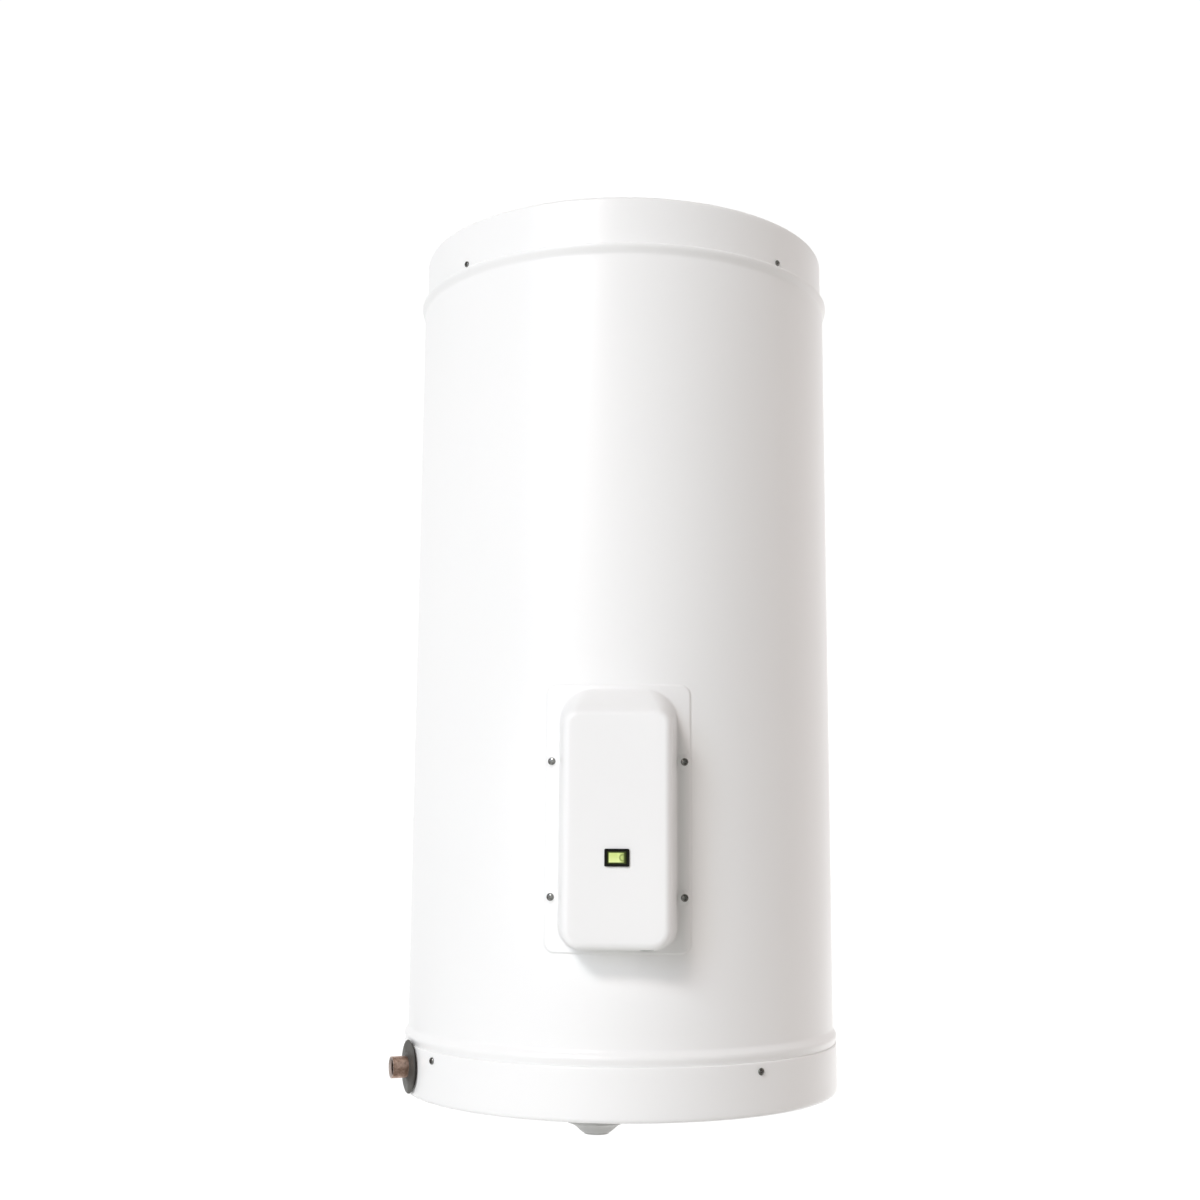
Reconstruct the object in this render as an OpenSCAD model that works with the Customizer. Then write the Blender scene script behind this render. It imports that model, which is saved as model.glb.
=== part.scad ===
// Floor-standing electric storage water heater, about 180 litres.
// Millimetres, +Z up, origin on the axis of the jacket at floor level.
// The service cover faces -Y. Azimuths are counted from -Y towards +X.

/* [Jacket and lids] */
// Outside diameter of the sheet steel jacket
jacket_d = 590; // [586:1:594]
// Sheet thickness of the jacket
jacket_t = 1.4; // [1.2:0.1:1.6]
// Height of the whole heater with its feet at mid travel
total_h = 1215; // [1195:5:1235]
// How far the swaged beads stand proud of the jacket
bead_h = 4.6; // [3.6:0.2:5]
// Visible height of the bottom lid
bottom_lid_h = 66; // [62:1:68]
// Visible height of the top lid
top_lid_h = 65; // [60:1:70]
// Sheet thickness of both lids
lid_t = 1.2; // [1:0.1:1.4]

/* [Feet] */
// Clear height between the floor and the bottom lid
foot_gap = 34.5; // [33:0.5:36]
// Radius of the circle that the three feet stand on
foot_circle_r = 165; // [162:1:168]
// Azimuth of the front foot
foot_az = -9.6; // [-14:0.2:-6]
// Radius of the flat sole of each foot
sole_r = 16; // [14:0.5:18]

/* [Tank] */
// Outside radius of the pressure tank
tank_r = 245; // [240:1:246]
// Wall thickness of the tank
tank_t = 2; // [1.6:0.2:3]
// Depth of each dished head
head_h = 75; // [74:0.5:76]

/* [Pipes] */
// Outside radius of the copper pipes
pipe_r = 14; // [13.9:0.05:14.1]
// Wall thickness of the copper pipes
pipe_t = 1.2; // [1:0.1:1.5]
// Height of the pipe stubs above the floor
pipe_z = 73; // [72:0.5:74]
// Azimuth of the cold water inlet
cold_az = -67.5; // [-72:0.5:-64]
// Azimuth of the hot water outlet
hot_az = -112; // [-116:0.5:-108]
// How far the stubs reach past the jacket surface
stub_out = 31; // [28:1:36]

/* [Service cover] */
// Half width of the cover where it meets its flange
cover_hw = 73.7; // [72.5:0.1:74.5]
// How far the cover's front face stands off the jacket
cover_depth = 52; // [50:1:54]
// Height of the cover's bottom wall above the floor
cover_z0 = 241; // [239:0.5:243]
// Height of the upper edge of the cover's front face
cover_z1 = 528; // [525:1:530]
// Wall thickness of the cover
cover_t = 2.5; // [2:0.1:3]
// Half angle of the curved cover flange
flange_a = 18; // [17.8:0.1:18.2]
// Azimuth of the cover screws on each side
cover_screw_a = 16.1; // [16:0.1:16.3]

/* [Switch] */
// Width of the switch bezel
bezel_w = 30.1; // [29.5:0.1:31]
// Height of the switch bezel
bezel_h = 21.2; // [20.8:0.1:22]
// Height of the switch above the floor
switch_z = 352; // [350:1:354]
// Tilt of the rocker to each side of its middle
rocker_tilt = 11; // [9:0.5:11]

/* [Heating element] */
// Height of the heating element above the floor
element_z = 312; // [310:1:314]
// Reach of the heating element behind the tank's axis
element_reach = 20; // [0:5:60]

/* [Hidden] */
$fn = 96;

R = jacket_d / 2;
crest = R + bead_h;
// bottom seam: lid edge, lower end of the bead, bead crest, upper end of the bead
zb_lid = foot_gap + bottom_lid_h;
zb_in = zb_lid + 0.5;
zb_crest = zb_lid + 9.5;
zb_out = zb_lid + 20.5;
// top seam
zt_lid = total_h - top_lid_h;
zt_crest = zt_lid - 4;
zt_out = zt_lid - 18;
neck_b = R - 1.6;              // jacket neck inside the bottom lid
neck_t = R - 4.4;              // jacket neck inside the top lid
skirt_b = R + 4.3;             // bottom lid skirt
skirt_t = neck_t + lid_t + 0.2; // top lid skirt
top_screw_az = [-46.9, 46.9, 133.1, -133.1];
bottom_screw_az = [-53.2, 36.7, 126.4, -143.3];
top_screw_z = total_h - 59;
bottom_screw_z = foot_gap + 55;
foot_azs = [foot_az, foot_az + 120, foot_az - 120];
// tank
tz0 = 185;
tz1 = total_h - 140;
riser_r = 120;                 // radius at which the pipes rise into the tank
bend_r = 42;
run_r = pipe_r - 0.6;          // pipe run behind its swaged free end
ring_r = 137.5;
// service opening
open_hw = 60;
open_z0 = 258;
open_z1 = 532;
face_y = -(R + cover_depth);
flange_z0 = cover_z0 - 7.5;
flange_z1 = 567.5;
flange_r0 = R + 1.6;
flange_r1 = R + 4.4;
screw_zs = [302.7, 469.9];
cable_y = -309;
// controls
plate_y = -275.5;
knob_z = 394;
reset_x = -9;
reset_z = 441;
pivot_y = face_y + 3;

// ---------- helpers ----------
// local +Z points outward at azimuth az, local +Y points up
module out(az, r, z) rotate([0, 0, az]) translate([0, -r, z]) rotate([90, 0, 0]) children();
function unit2(v) = v / norm(v);
function seg_n(a, b) = let (u = unit2(b - a)) [-u[1], u[0]];
// path moved sideways by d, to the left of its direction
function side_path(p, d) = [for (i = [0:len(p) - 1])
    let (n1 = i == 0 ? seg_n(p[0], p[1]) : seg_n(p[i - 1], p[i]),
         n2 = i == len(p) - 1 ? n1 : seg_n(p[i], p[i + 1]))
    p[i] + d * (n1 + n2) / (1 + n1 * n2)];
function backwards(p) = [for (i = [len(p) - 1:-1:0]) p[i]];
function arc(cx, cy, r, a0, a1, n = 6) =
    [for (i = [0:n]) let (a = a0 + (a1 - a0) * i / n) [cx + r * cos(a), cy + r * sin(a)]];
function ellipse_pts(r, h, z0, s, a0, a1, n) =
    [for (i = [0:n]) let (a = a0 + (a1 - a0) * i / n) [r * cos(a), z0 + s * h * sin(a)]];
module ring(ro, ri, h) difference() { cylinder(r = ro, h = h); translate([0, 0, -1]) cylinder(r = ri, h = h + 2); }
module rbox2(hw, z0, z1, r) {
    // rectangle with round corners, x from -hw to hw
    translate([-hw + r, z0]) square([2 * hw - 2 * r, z1 - z0]);
    translate([-hw, z0 + r]) square([2 * hw, z1 - z0 - 2 * r]);
    for (x = [-hw + r, hw - r], z = [z0 + r, z1 - r]) translate([x, z]) circle(r = r);
}
// the same outline standing in the XZ plane, from y0 to y1
module front_slab(hw, z0, z1, r, y0, y1)
    translate([0, y1, 0]) rotate([90, 0, 0]) linear_extrude(height = y1 - y0) rbox2(hw, z0, z1, r);
// tube swept along a smooth curve through the given points
function cr(a, b, c, d, t) = 0.5 * ((2 * b) + (c - a) * t + (2 * a - 5 * b + 4 * c - d) * t * t
    + (3 * b - a - 3 * c + d) * t * t * t);
function smooth(p, n) = concat([for (i = [0:len(p) - 2], j = [0:n - 1])
    cr(p[max(0, i - 1)], p[i], p[i + 1], p[min(len(p) - 1, i + 2)], j / n)], [p[len(p) - 1]]);
function tang(p, i) = let (v = p[min(len(p) - 1, i + 1)] - p[max(0, i - 1)]) v / norm(v);
function perp(u, t) = let (v = u - (u * t) * t) v / norm(v);
function carry(p, i, u) = i == len(p) ? [] :
    let (w = perp(u, tang(p, i))) concat([w], carry(p, i + 1, w));
module sweep(pts, r, n = 4, sides = 8) {
    p = smooth(pts, n);
    t0 = tang(p, 0);
    u = carry(p, 0, abs(t0[2]) < 0.8 ? [0, 0, 1] : [1, 0, 0]);
    m = len(p);
    v = [for (i = [0:m - 1], k = [0:sides - 1]) let (a = 360 * k / sides, t = tang(p, i))
         p[i] + r * (cos(a) * u[i] + sin(a) * cross(t, u[i]))];
    f = concat([for (i = [0:m - 2], k = [0:sides - 1]) let (k2 = (k + 1) % sides)
                [i * sides + k, (i + 1) * sides + k, (i + 1) * sides + k2, i * sides + k2]],
               [[for (k = [0:sides - 1]) k]],
               [[for (k = [sides - 1:-1:0]) (m - 1) * sides + k]]);
    polyhedron(points = v, faces = f, convexity = 4);
}
// pan head screw pointing inward, cross recess in the head
module pan_screw(head_r, head_h, shank_r, len) {
    difference() {
        rotate_extrude() polygon(concat([[0, 0], [head_r, 0], [head_r, head_h * 0.35]],
            [for (i = [1:5]) let (a = 15 * i) [head_r * cos(a * 0.96), head_h * (0.35 + 0.65 * sin(a * 1.2))]],
            [[0, head_h]]));
        for (a = [0, 90]) rotate([0, 0, a + 25])
            translate([-head_r * 0.55, -head_r * 0.11, head_h * 0.45]) cube([head_r * 1.1, head_r * 0.22, head_h]);
    }
    translate([0, 0, -len]) cylinder(r = shank_r, h = len, $fn = 32);
}

// ---------- casing ----------
jacket_path = concat(
    [[neck_b, zb_lid - 20.5]],
    [for (i = [0:8]) let (a = 90 * i / 8) [neck_b + (crest - neck_b) * sin(a), zb_crest - 9 * cos(a)]],
    [for (i = [1:8]) let (t = i / 8) [R + bead_h * (1 + cos(180 * t)) / 2, zb_crest + 11 * t]],
    [for (i = [0:8]) let (t = i / 8) [R + bead_h * (1 - cos(180 * t)) / 2, zt_out + 14 * t]],
    [for (i = [1:8]) let (a = 90 * i / 8) [neck_t + (crest - neck_t) * cos(a), zt_crest + 4 * sin(a)]],
    [[neck_t, zt_lid + 22]]);

module outer_jacket() {
    color([0.95, 0.95, 0.94]) difference() {
        union() {
            rotate_extrude($fn = 180) polygon(concat(jacket_path, backwards(side_path(jacket_path, jacket_t))));
            // folded lock seam down the back
            translate([-4, R - 1.2, zb_out + 4]) cube([8, 2.0, zt_out - zb_out - 8]);
        }
        translate([-open_hw - 0.5, -R - 12, open_z0]) cube([2 * open_hw + 1, 40, open_z1 - open_z0]);
        for (a = [-cover_screw_a, cover_screw_a], z = screw_zs) out(a, R - 10, z) cylinder(r = 2.4, h = 20, $fn = 32);
        for (a = top_screw_az) out(a, neck_t - 10, top_screw_z) cylinder(r = 1.9, h = 20, $fn = 32);
        for (a = bottom_screw_az) out(a, neck_b - 10, bottom_screw_z) cylinder(r = 1.95, h = 20, $fn = 32);
        for (a = [cold_az, hot_az]) out(a, R - 30, pipe_z) cylinder(r = 19.5, h = 60);
    }
}

top_lid_path = concat([[skirt_t, zt_lid + 0.8]], arc(skirt_t - 6, total_h - 6, 6, 0, 90, 6),
    [for (i = [0:6]) let (t = i / 6) [256 - 8 * t, total_h - 1.5 * (1 - cos(180 * t))]],
    [[0, total_h - 3]]);
module top_lid() {
    color([0.95, 0.95, 0.94]) difference() {
        rotate_extrude($fn = 180) polygon(concat(top_lid_path, backwards(side_path(top_lid_path, lid_t))));
        for (a = top_screw_az) out(a, skirt_t - 10, top_screw_z) cylinder(r = 2.3, h = 20, $fn = 32);
    }
}

bottom_lid_path = concat([[neck_b + 0.8, zb_lid], [skirt_b - 3.5, zb_lid]], arc(skirt_b - 3.5, zb_lid - 3.5, 3.5, 75, 0, 5),
    arc(skirt_b - 6, foot_gap + 6, 6, 0, -90, 6), [[0, foot_gap]]);
module bottom_lid() {
    color([0.95, 0.95, 0.94]) difference() {
        rotate_extrude($fn = 180) polygon(concat(bottom_lid_path, backwards(side_path(bottom_lid_path, -lid_t))));
        for (a = bottom_screw_az) out(a, skirt_b - 10, bottom_screw_z) cylinder(r = 2.3, h = 20, $fn = 32);
        for (a = [cold_az, hot_az]) out(a, R - 15, pipe_z) cylinder(r = 17.9, h = 40);
        for (a = foot_azs) rotate([0, 0, a]) translate([0, -foot_circle_r, foot_gap - 2]) cylinder(r = 7.2, h = 6);
        // leak hole
        translate([0, 0, foot_gap - 2]) cylinder(r = 6, h = 6);
    }
}

module top_lid_screws() {
    color([0.72, 0.72, 0.7]) for (a = top_screw_az) out(a, skirt_t + 0.05, top_screw_z) pan_screw(4.1, 2.4, 1.85, 12);
}
module bottom_lid_screws() {
    color([0.72, 0.72, 0.7]) for (a = bottom_screw_az) out(a, skirt_b + 0.05, bottom_screw_z) pan_screw(4.6, 2.6, 1.9, 14);
}
module lid_clip_nuts() {
    color([0.4, 0.4, 0.42]) for (a = bottom_screw_az) rotate([0, 0, a]) intersection() {
        difference() {
            ring(skirt_b - lid_t - 0.1, neck_b + 0.1, 200, $fn = 180);
            translate([0, 0, bottom_screw_z]) rotate([90, 0, 0]) cylinder(r = 1.95, h = 400, $fn = 32);
        }
        translate([-7, -R - 10, bottom_screw_z - 8]) cube([14, 40, 16]);
    }
}

// ---------- insulation ----------
service_cut = [[-open_hw - 2.2, open_z0 - 2.2], [open_hw + 2.2, open_z1 + 2.2]];
module side_insulation() {
    re = tank_r + 0.4;
    he = head_h + 0.4;
    color([0.93, 0.86, 0.62]) difference() {
        rotate_extrude($fn = 180) polygon(concat(
            [[R - jacket_t - 0.2, 150], [R - jacket_t - 0.2, zt_out - 2]],
            ellipse_pts(re, he, tz1, 1, asin((zt_out - 2 - tz1) / he), 0, 8),
            ellipse_pts(re, he, tz0, -1, 0, asin((tz0 - 150) / he), 6)));
        translate([service_cut[0][0], -R - 20, service_cut[0][1]])
            cube([service_cut[1][0] - service_cut[0][0], 120, service_cut[1][1] - service_cut[0][1]]);
        intersection() {
            ring(R + 10, R - 4.4, 600, $fn = 180);
            front_slab(94.4, 248.6, 541.4, 6, -R - 20, -200);
        }
        for (a = [-cover_screw_a, cover_screw_a], z = screw_zs) out(a, R - 23.5, z) cylinder(r = 6.3, h = 40);
    }
}
module top_insulation() {
    re = tank_r + 0.4;
    he = head_h + 0.4;
    a0 = asin((zt_out - 1.7 - tz1) / he);
    color([0.93, 0.93, 0.9]) difference() {
        rotate_extrude($fn = 180) polygon(concat(
            [[0, total_h - 4.5], [neck_t - jacket_t - 0.2, total_h - 4.5], [neck_t - jacket_t - 0.2, zt_out - 1.7]],
            ellipse_pts(re, he, tz1, 1, a0, a0 + (90 - a0) * 0.9, 9), [[0, tz1 + he]]));
        for (a = top_screw_az) out(a, neck_t - 20, top_screw_z) cylinder(r = 2.2, h = 20, $fn = 32);
    }
}
module bottom_insulation() {
    re = tank_r + 0.4;
    he = head_h + 0.4;
    ri = ring_r + 2;
    color([0.93, 0.93, 0.9]) difference() {
        rotate_extrude($fn = 180) polygon(concat(
            [[ri, foot_gap + 4.6], [neck_b - jacket_t - 0.4, foot_gap + 4.6], [neck_b - jacket_t - 0.4, 149.8]],
            ellipse_pts(re, he, tz0, -1, asin((tz0 - 149.8) / he), acos(ri / re), 6)));
        for (a = [cold_az, hot_az]) {
            pipe_run(a, pipe_r + 0.4, 140);
            out(a, R - 12, pipe_z) cylinder(r = 18.2, h = 30);
        }
        for (a = foot_azs) rotate([0, 0, a]) translate([0, -foot_circle_r, foot_gap]) cylinder(r = 15, h = 42);
        for (a = bottom_screw_az) out(a, neck_b - 16, bottom_screw_z) cylinder(r = 2.3, h = 20, $fn = 32);
    }
}

// ---------- tank ----------
module tank_shell() {
    color([0.78, 0.79, 0.8]) difference() {
        translate([0, 0, tz0]) ring(tank_r, tank_r - tank_t, tz1 - tz0, $fn = 180);
        out(0, 0, element_z) cylinder(r = 32, h = 300);
    }
}
module dished(z0, s) {
    rotate_extrude($fn = 180) polygon(concat(
        ellipse_pts(tank_r, head_h, z0, s, 0, 84, 14), [[0, z0 + s * head_h], [0, z0 + s * (head_h - tank_t)]],
        backwards(ellipse_pts(tank_r - tank_t, head_h - tank_t, z0, s, 0, 84, 14))));
}
module tank_top_head() { color([0.78, 0.79, 0.8]) dished(tz1, 1); }
module tank_bottom_head() {
    color([0.78, 0.79, 0.8]) difference() {
        dished(tz0, -1);
        for (a = [cold_az, hot_az]) rotate([0, 0, a]) translate([0, -riser_r, 60]) cylinder(r = run_r + 0.05, h = 140);
    }
}
module tank_support_ring() {
    zr = tz0 - head_h * sqrt(1 - pow(ring_r / tank_r, 2));
    zi = tz0 - head_h * sqrt(1 - pow((ring_r - 3) / tank_r, 2));
    color([0.45, 0.46, 0.48]) difference() {
        rotate_extrude($fn = 120) polygon([[ring_r - 3, foot_gap + 4.4], [ring_r, foot_gap + 4.4],
            [ring_r, zr - 0.2], [ring_r - 3, zi - 0.2]]);
        for (a = [cold_az, hot_az]) rotate([0, 0, a]) translate([-18, -ring_r - 10, pipe_z - 19]) cube([36, 30, 56]);
    }
}
module base_plate() {
    color([0.45, 0.46, 0.48]) difference() {
        translate([0, 0, foot_gap + lid_t + 0.1]) ring(235, 60, 3, $fn = 120);
        for (a = foot_azs) rotate([0, 0, a]) translate([0, -foot_circle_r, foot_gap]) cylinder(r = 7.2, h = 12);
    }
}

// ---------- levelling feet ----------
module foot_nuts() {
    color([0.6, 0.6, 0.58]) for (a = foot_azs) rotate([0, 0, a]) translate([0, -foot_circle_r, foot_gap + 4.4])
        difference() {
            cylinder(r = 10.97, h = 10, $fn = 6);
            translate([0, 0, -1]) cylinder(r = 6.05, h = 12);
        }
}
module foot_pad(a) {
    color([0.72, 0.73, 0.72]) rotate([0, 0, a]) translate([0, -foot_circle_r, 0]) difference() {
        union() {
            cylinder(r = sole_r, h = 1.6);
            rotate_extrude() polygon([[0, 1.5], [sole_r, 1.5], [sole_r + 2.3, 1.9], [21.6, 4.4], [24.6, 7.2], [27.8, 9.8],
                [31, 11.9], [34.2, 13.4], [37.2, 14.3], [39.2, 15.0], [40, 16], [40, 17.4], [39.2, 18.2],
                [36, 17.2], [31, 15.4], [27, 13.4], [22, 10.4], [18, 9.4], [13.2, 9.4], [12, 10.4], [12, 19.3], [0, 19.3]]);
        }
        translate([0, 0, 5]) cylinder(r = 6.05, h = 30);
    }
}
module foot_pad_front() foot_pad(foot_azs[0]);
module foot_pad_right() foot_pad(foot_azs[1]);
module foot_pad_left() foot_pad(foot_azs[2]);
module foot_stud(a) {
    color([0.66, 0.66, 0.64]) rotate([0, 0, a]) translate([0, -foot_circle_r, 0]) {
        translate([0, 0, 5.3]) cylinder(r = 5.98, h = 54.7);
        translate([0, 0, 19.7]) cylinder(r = 10.97, h = 6, $fn = 6);
    }
}
module foot_stud_front() foot_stud(foot_azs[0]);
module foot_stud_right() foot_stud(foot_azs[1]);
module foot_stud_left() foot_stud(foot_azs[2]);

// ---------- heating element ----------
module element_boss() {
    color([0.7, 0.7, 0.72]) out(0, 238, element_z) difference() {
        cylinder(r = 32, h = 19);
        translate([0, 0, -1]) cylinder(r = 24.05, h = 30);
    }
}
module element_gasket() {
    color([0.25, 0.25, 0.25]) out(0, 257.05, element_z) ring(31.5, 24.6, 2);
}
leg_r = 15;
module leg_holes(r) for (i = [0:5]) rotate([0, 0, 60 * i]) translate([leg_r, 0, -1]) cylinder(r = r, h = 60, $fn = 32);
module element_head() {
    color([0.8, 0.66, 0.36]) out(0, 236, element_z) difference() {
        union() {
            cylinder(r = 24, h = 23.1);
            translate([0, 0, 23.1]) cylinder(r = 31, h = 5);
            translate([0, 0, 28.1]) cylinder(r = 31, h = 9, $fn = 6);
        }
        leg_holes(4.2);
        translate([0, 0, -1]) cylinder(r = 4.65, h = 60, $fn = 48);
    }
}
module hairpin(half, reach) {
    for (s = [-1, 1]) translate([half * s, 0, 0]) {
        translate([0, 0, -element_reach]) cylinder(r = 4.1, h = reach, $fn = 32);
        translate([0, 0, 262]) cylinder(r = 1.8, h = 24, $fn = 32);
    }
    translate([0, 0, -element_reach]) rotate([90, 0, 0]) rotate_extrude(angle = 180, start = 180, $fn = 48)
        translate([half, 0]) circle(r = 4.1, $fn = 32);
}
module heating_element() {
    color([0.35, 0.35, 0.37]) out(0, 0, element_z) {
        for (s = [-1, 1]) translate([0, leg_r * sin(60) * s, 0]) hairpin(leg_r / 2, 262 + element_reach);
        hairpin(leg_r, 262 + element_reach);
    }
}
module element_insulator() {
    color([0.16, 0.15, 0.15]) out(0, 273.3, element_z) difference() {
        cylinder(r = 23, h = 5);
        leg_holes(1.9);
        translate([0, 0, -1]) cylinder(r = 4.65, h = 60, $fn = 48);
    }
}
module sensor_pocket() {
    color([0.75, 0.76, 0.78]) out(0, 0, element_z) difference() {
        translate([0, 0, 60]) cylinder(r = 4.6, h = 221, $fn = 48);
        translate([0, 0, 61]) cylinder(r = 4, h = 240, $fn = 48);
    }
}
module sensor_bulbs() {
    color([0.72, 0.45, 0.3]) {
        for (s = [-1, 1]) out(0, 0, element_z) translate([1.9 * s, 0, 63]) cylinder(r = 1.7, h = 90, $fn = 32);
        sweep([[-1.9, -150, element_z], [-1.9, -220, element_z], [-1.9, -276, element_z], [-3.5, -291, 316],
               [-20, -297, 332], [-26, -290, 352], [-20, -286, 366], [-20, -286, 370.9]], 0.8, 3);
        sweep([[1.9, -150, element_z], [1.9, -220, element_z], [1.9, -276, element_z], [5, -292, 316],
               [38, -298, 340], [47, -290, 380], [44, -288, 425], [34, -287, 441], [23, -287, 441]], 0.8, 3);
    }
}

// ---------- service opening ----------
module service_frame() {
    color([0.86, 0.86, 0.85]) difference() {
        union() {
            intersection() {
                ring(R - jacket_t - 0.2, R - 4.2, 600, $fn = 180);
                front_slab(94, 249, 541, 6, -R - 10, -200);
            }
            intersection() {
                ring(R - 3.4, tank_r + 2, 600, $fn = 180);
                translate([-open_hw - 2, -R, open_z0 - 2]) cube([2 * open_hw + 4, 120, open_z1 - open_z0 + 4]);
            }
            for (a = [-cover_screw_a, cover_screw_a], z = screw_zs) out(a, R - 23, z) cylinder(r = 6, h = 19.8);
        }
        translate([-open_hw, -R - 20, open_z0]) cube([2 * open_hw, 160, open_z1 - open_z0]);
        for (a = [-cover_screw_a, cover_screw_a], z = screw_zs) out(a, R - 20, z) cylinder(r = 1.95, h = 40, $fn = 32);
    }
}
module control_bracket() {
    color([0.74, 0.75, 0.76]) difference() {
        union() {
            translate([-57, plate_y, 363]) cube([114, 1.5, 162]);
            for (x = [-57, 55.5]) translate([x, plate_y, 363]) cube([1.5, 20, 162]);
            for (x = [-59.8, 55.5], z = [372, 500]) translate([x, plate_y + 4, z]) cube([4.3, 12, 12]);
        }
        translate([42, plate_y + 5, 466]) rotate([90, 0, 0]) cylinder(r = 2.6, h = 20, $fn = 32);
        // slots for the capillaries and wires
        for (x = [-44, 30]) translate([x, plate_y - 5, 462]) cube([8, 20, 5]);
    }
}
module thermostat_body() {
    color([0.2, 0.2, 0.21]) difference() {
        union() {
            translate([-28, plate_y - 28, 371]) cube([56, 27.9, 47]);
            translate([0, plate_y - 28, knob_z]) rotate([90, 0, 0]) cylinder(r = 7, h = 3);
        }
        translate([0, plate_y - 8, knob_z]) rotate([90, 0, 0]) cylinder(r = 3.05, h = 40);
        for (x = [-23, 23], z = [376, 413]) translate([x, plate_y - 24, z]) rotate([90, 0, 0]) cylinder(r = 2, h = 10, $fn = 32);
    }
}
module thermostat_knob() {
    color([0.9, 0.9, 0.88]) difference() {
        translate([0, 0, knob_z]) rotate([90, 0, 0]) union() {
            translate([0, 0, -plate_y + 10]) cylinder(r = 3, h = 24);
            translate([0, 0, -plate_y + 31.6]) cylinder(r = 19, h = 4);
            translate([0, 0, -plate_y + 35.5]) cylinder(r = 15, h = 9);
        }
        for (i = [0:11]) translate([0, 0, knob_z]) rotate([90, 0, 0]) rotate([0, 0, 15 + 30 * i])
            translate([17, 0, -plate_y + 35.6]) cylinder(r = 3.2, h = 20, $fn = 32);
        translate([-0.8, plate_y - 50, knob_z + 4]) cube([1.6, 6.3, 16]);
    }
}
module cutout_body() {
    color([0.2, 0.2, 0.21]) difference() {
        union() {
            translate([-32, plate_y - 24, 425]) cube([54, 23.9, 32]);
            translate([reset_x, plate_y - 24, reset_z]) rotate([90, 0, 0]) cylinder(r = 7, h = 3);
        }
        translate([reset_x, plate_y - 10, reset_z]) rotate([90, 0, 0]) cylinder(r = 4.05, h = 30, $fn = 64);
    }
}
module reset_button() {
    color([0.8, 0.1, 0.08]) translate([reset_x, plate_y - 14, reset_z]) rotate([90, 0, 0]) {
        cylinder(r = 4, h = 16.2, $fn = 64);
        translate([0, 0, 16.2]) cylinder(r1 = 4, r2 = 3.2, h = 0.8, $fn = 64);
    }
}
pole_x = [-18, 0, 18];
module terminal_block() {
    color([0.92, 0.92, 0.88]) difference() {
        union() {
            translate([-28, plate_y - 20, 477]) cube([56, 19.9, 24]);
            for (x = pole_x) translate([x - 6.5, plate_y - 24, 479]) cube([13, 5, 20]);
        }
        for (x = pole_x) {
            translate([x, plate_y - 10, 470]) cylinder(r = 2.6, h = 40, $fn = 48);
            for (z = [484, 494]) translate([x, plate_y - 8, z]) rotate([90, 0, 0]) cylinder(r = 2.3, h = 30, $fn = 32);
        }
    }
}
module terminal_screws() {
    color([0.8, 0.7, 0.4]) for (x = pole_x, z = [484, 494]) translate([x, plate_y - 12.8, z]) rotate([90, 0, 0]) difference() {
        cylinder(r = 2.2, h = 9, $fn = 32);
        translate([-3, -0.4, 7.8]) cube([6, 0.8, 4]);
    }
}
module earth_stud() {
    color([0.8, 0.7, 0.4]) translate([42, plate_y + 4, 466]) rotate([90, 0, 0]) {
        cylinder(r = 2.5, h = 18, $fn = 32);
        cylinder(r = 4.6, h = 2.4, $fn = 6);
        translate([0, 0, 4.1]) cylinder(r = 5, h = 1, $fn = 48);
        translate([0, 0, 5.1]) cylinder(r = 4.6, h = 4, $fn = 6);
    }
}

// ---------- internal wiring ----------
module wires_live() {
    color([0.4, 0.22, 0.12]) {
        // terminal to switch
        sweep([[-18, -285.5, 480], [-18, -285.5, 470], [-34, -294, 461], [-47, -303, 432], [-48, -311, 398],
               [-40, -315, 370], [-22, -309, 355], [-10, -307, 352], [-8, -310, 352], [-8, -314.9, 352]], 1.5, 3);
        // switch to thermostat
        sweep([[0, -314.9, 352], [0, -310, 352], [6, -305, 354], [17, -301, 357], [20, -295, 362], [20, -293, 366],
               [20, -293, 370.8]], 1.5, 3);
        // cut-out to element
        sweep([[-24, -292, 424.8], [-24, -292, 422.6], [-29, -294, 420.2], [-38, -299, 411], [-44, -300, 375],
               [-40, -294, 345], [-26, -293, 322], [-17, -294, 312.5], [-15, -291, 312], [-15, -286.3, 312]], 1.5, 3);
    }
}
module wires_neutral() {
    color([0.15, 0.3, 0.65]) {
        sweep([[0, -285.5, 480], [0, -286, 470], [8, -290, 466], [12, -290, 462], [12, -290, 457.2]], 1.5, 3);
        sweep([[14, -292, 424.8], [14, -292, 422.6], [19, -293, 421.2], [27, -294, 421], [34, -296, 416], [37, -299, 404],
               [39, -302, 385], [38, -300, 365], [34, -295, 345], [26, -293, 322], [17, -294, 312.5], [15, -291, 312],
               [15, -286.3, 312]], 1.5, 3);
    }
}
module wires_earth() {
    color([0.45, 0.62, 0.15]) {
        sweep([[18, -285.5, 480], [18, -286, 471], [25, -287.5, 466], [34, -287.5, 466], [39.3, -287.5, 466]], 1.5, 3);
        sweep([[42, -287.5, 463.3], [42, -287.5, 459], [50, -294, 450], [53, -302, 425], [53, -300, 390], [50, -292, 350],
               [40, -286, 330], [27, -284, 321], [24, -280, 320], [24, -273.5, 320]], 1.5, 3);
    }
}

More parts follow.
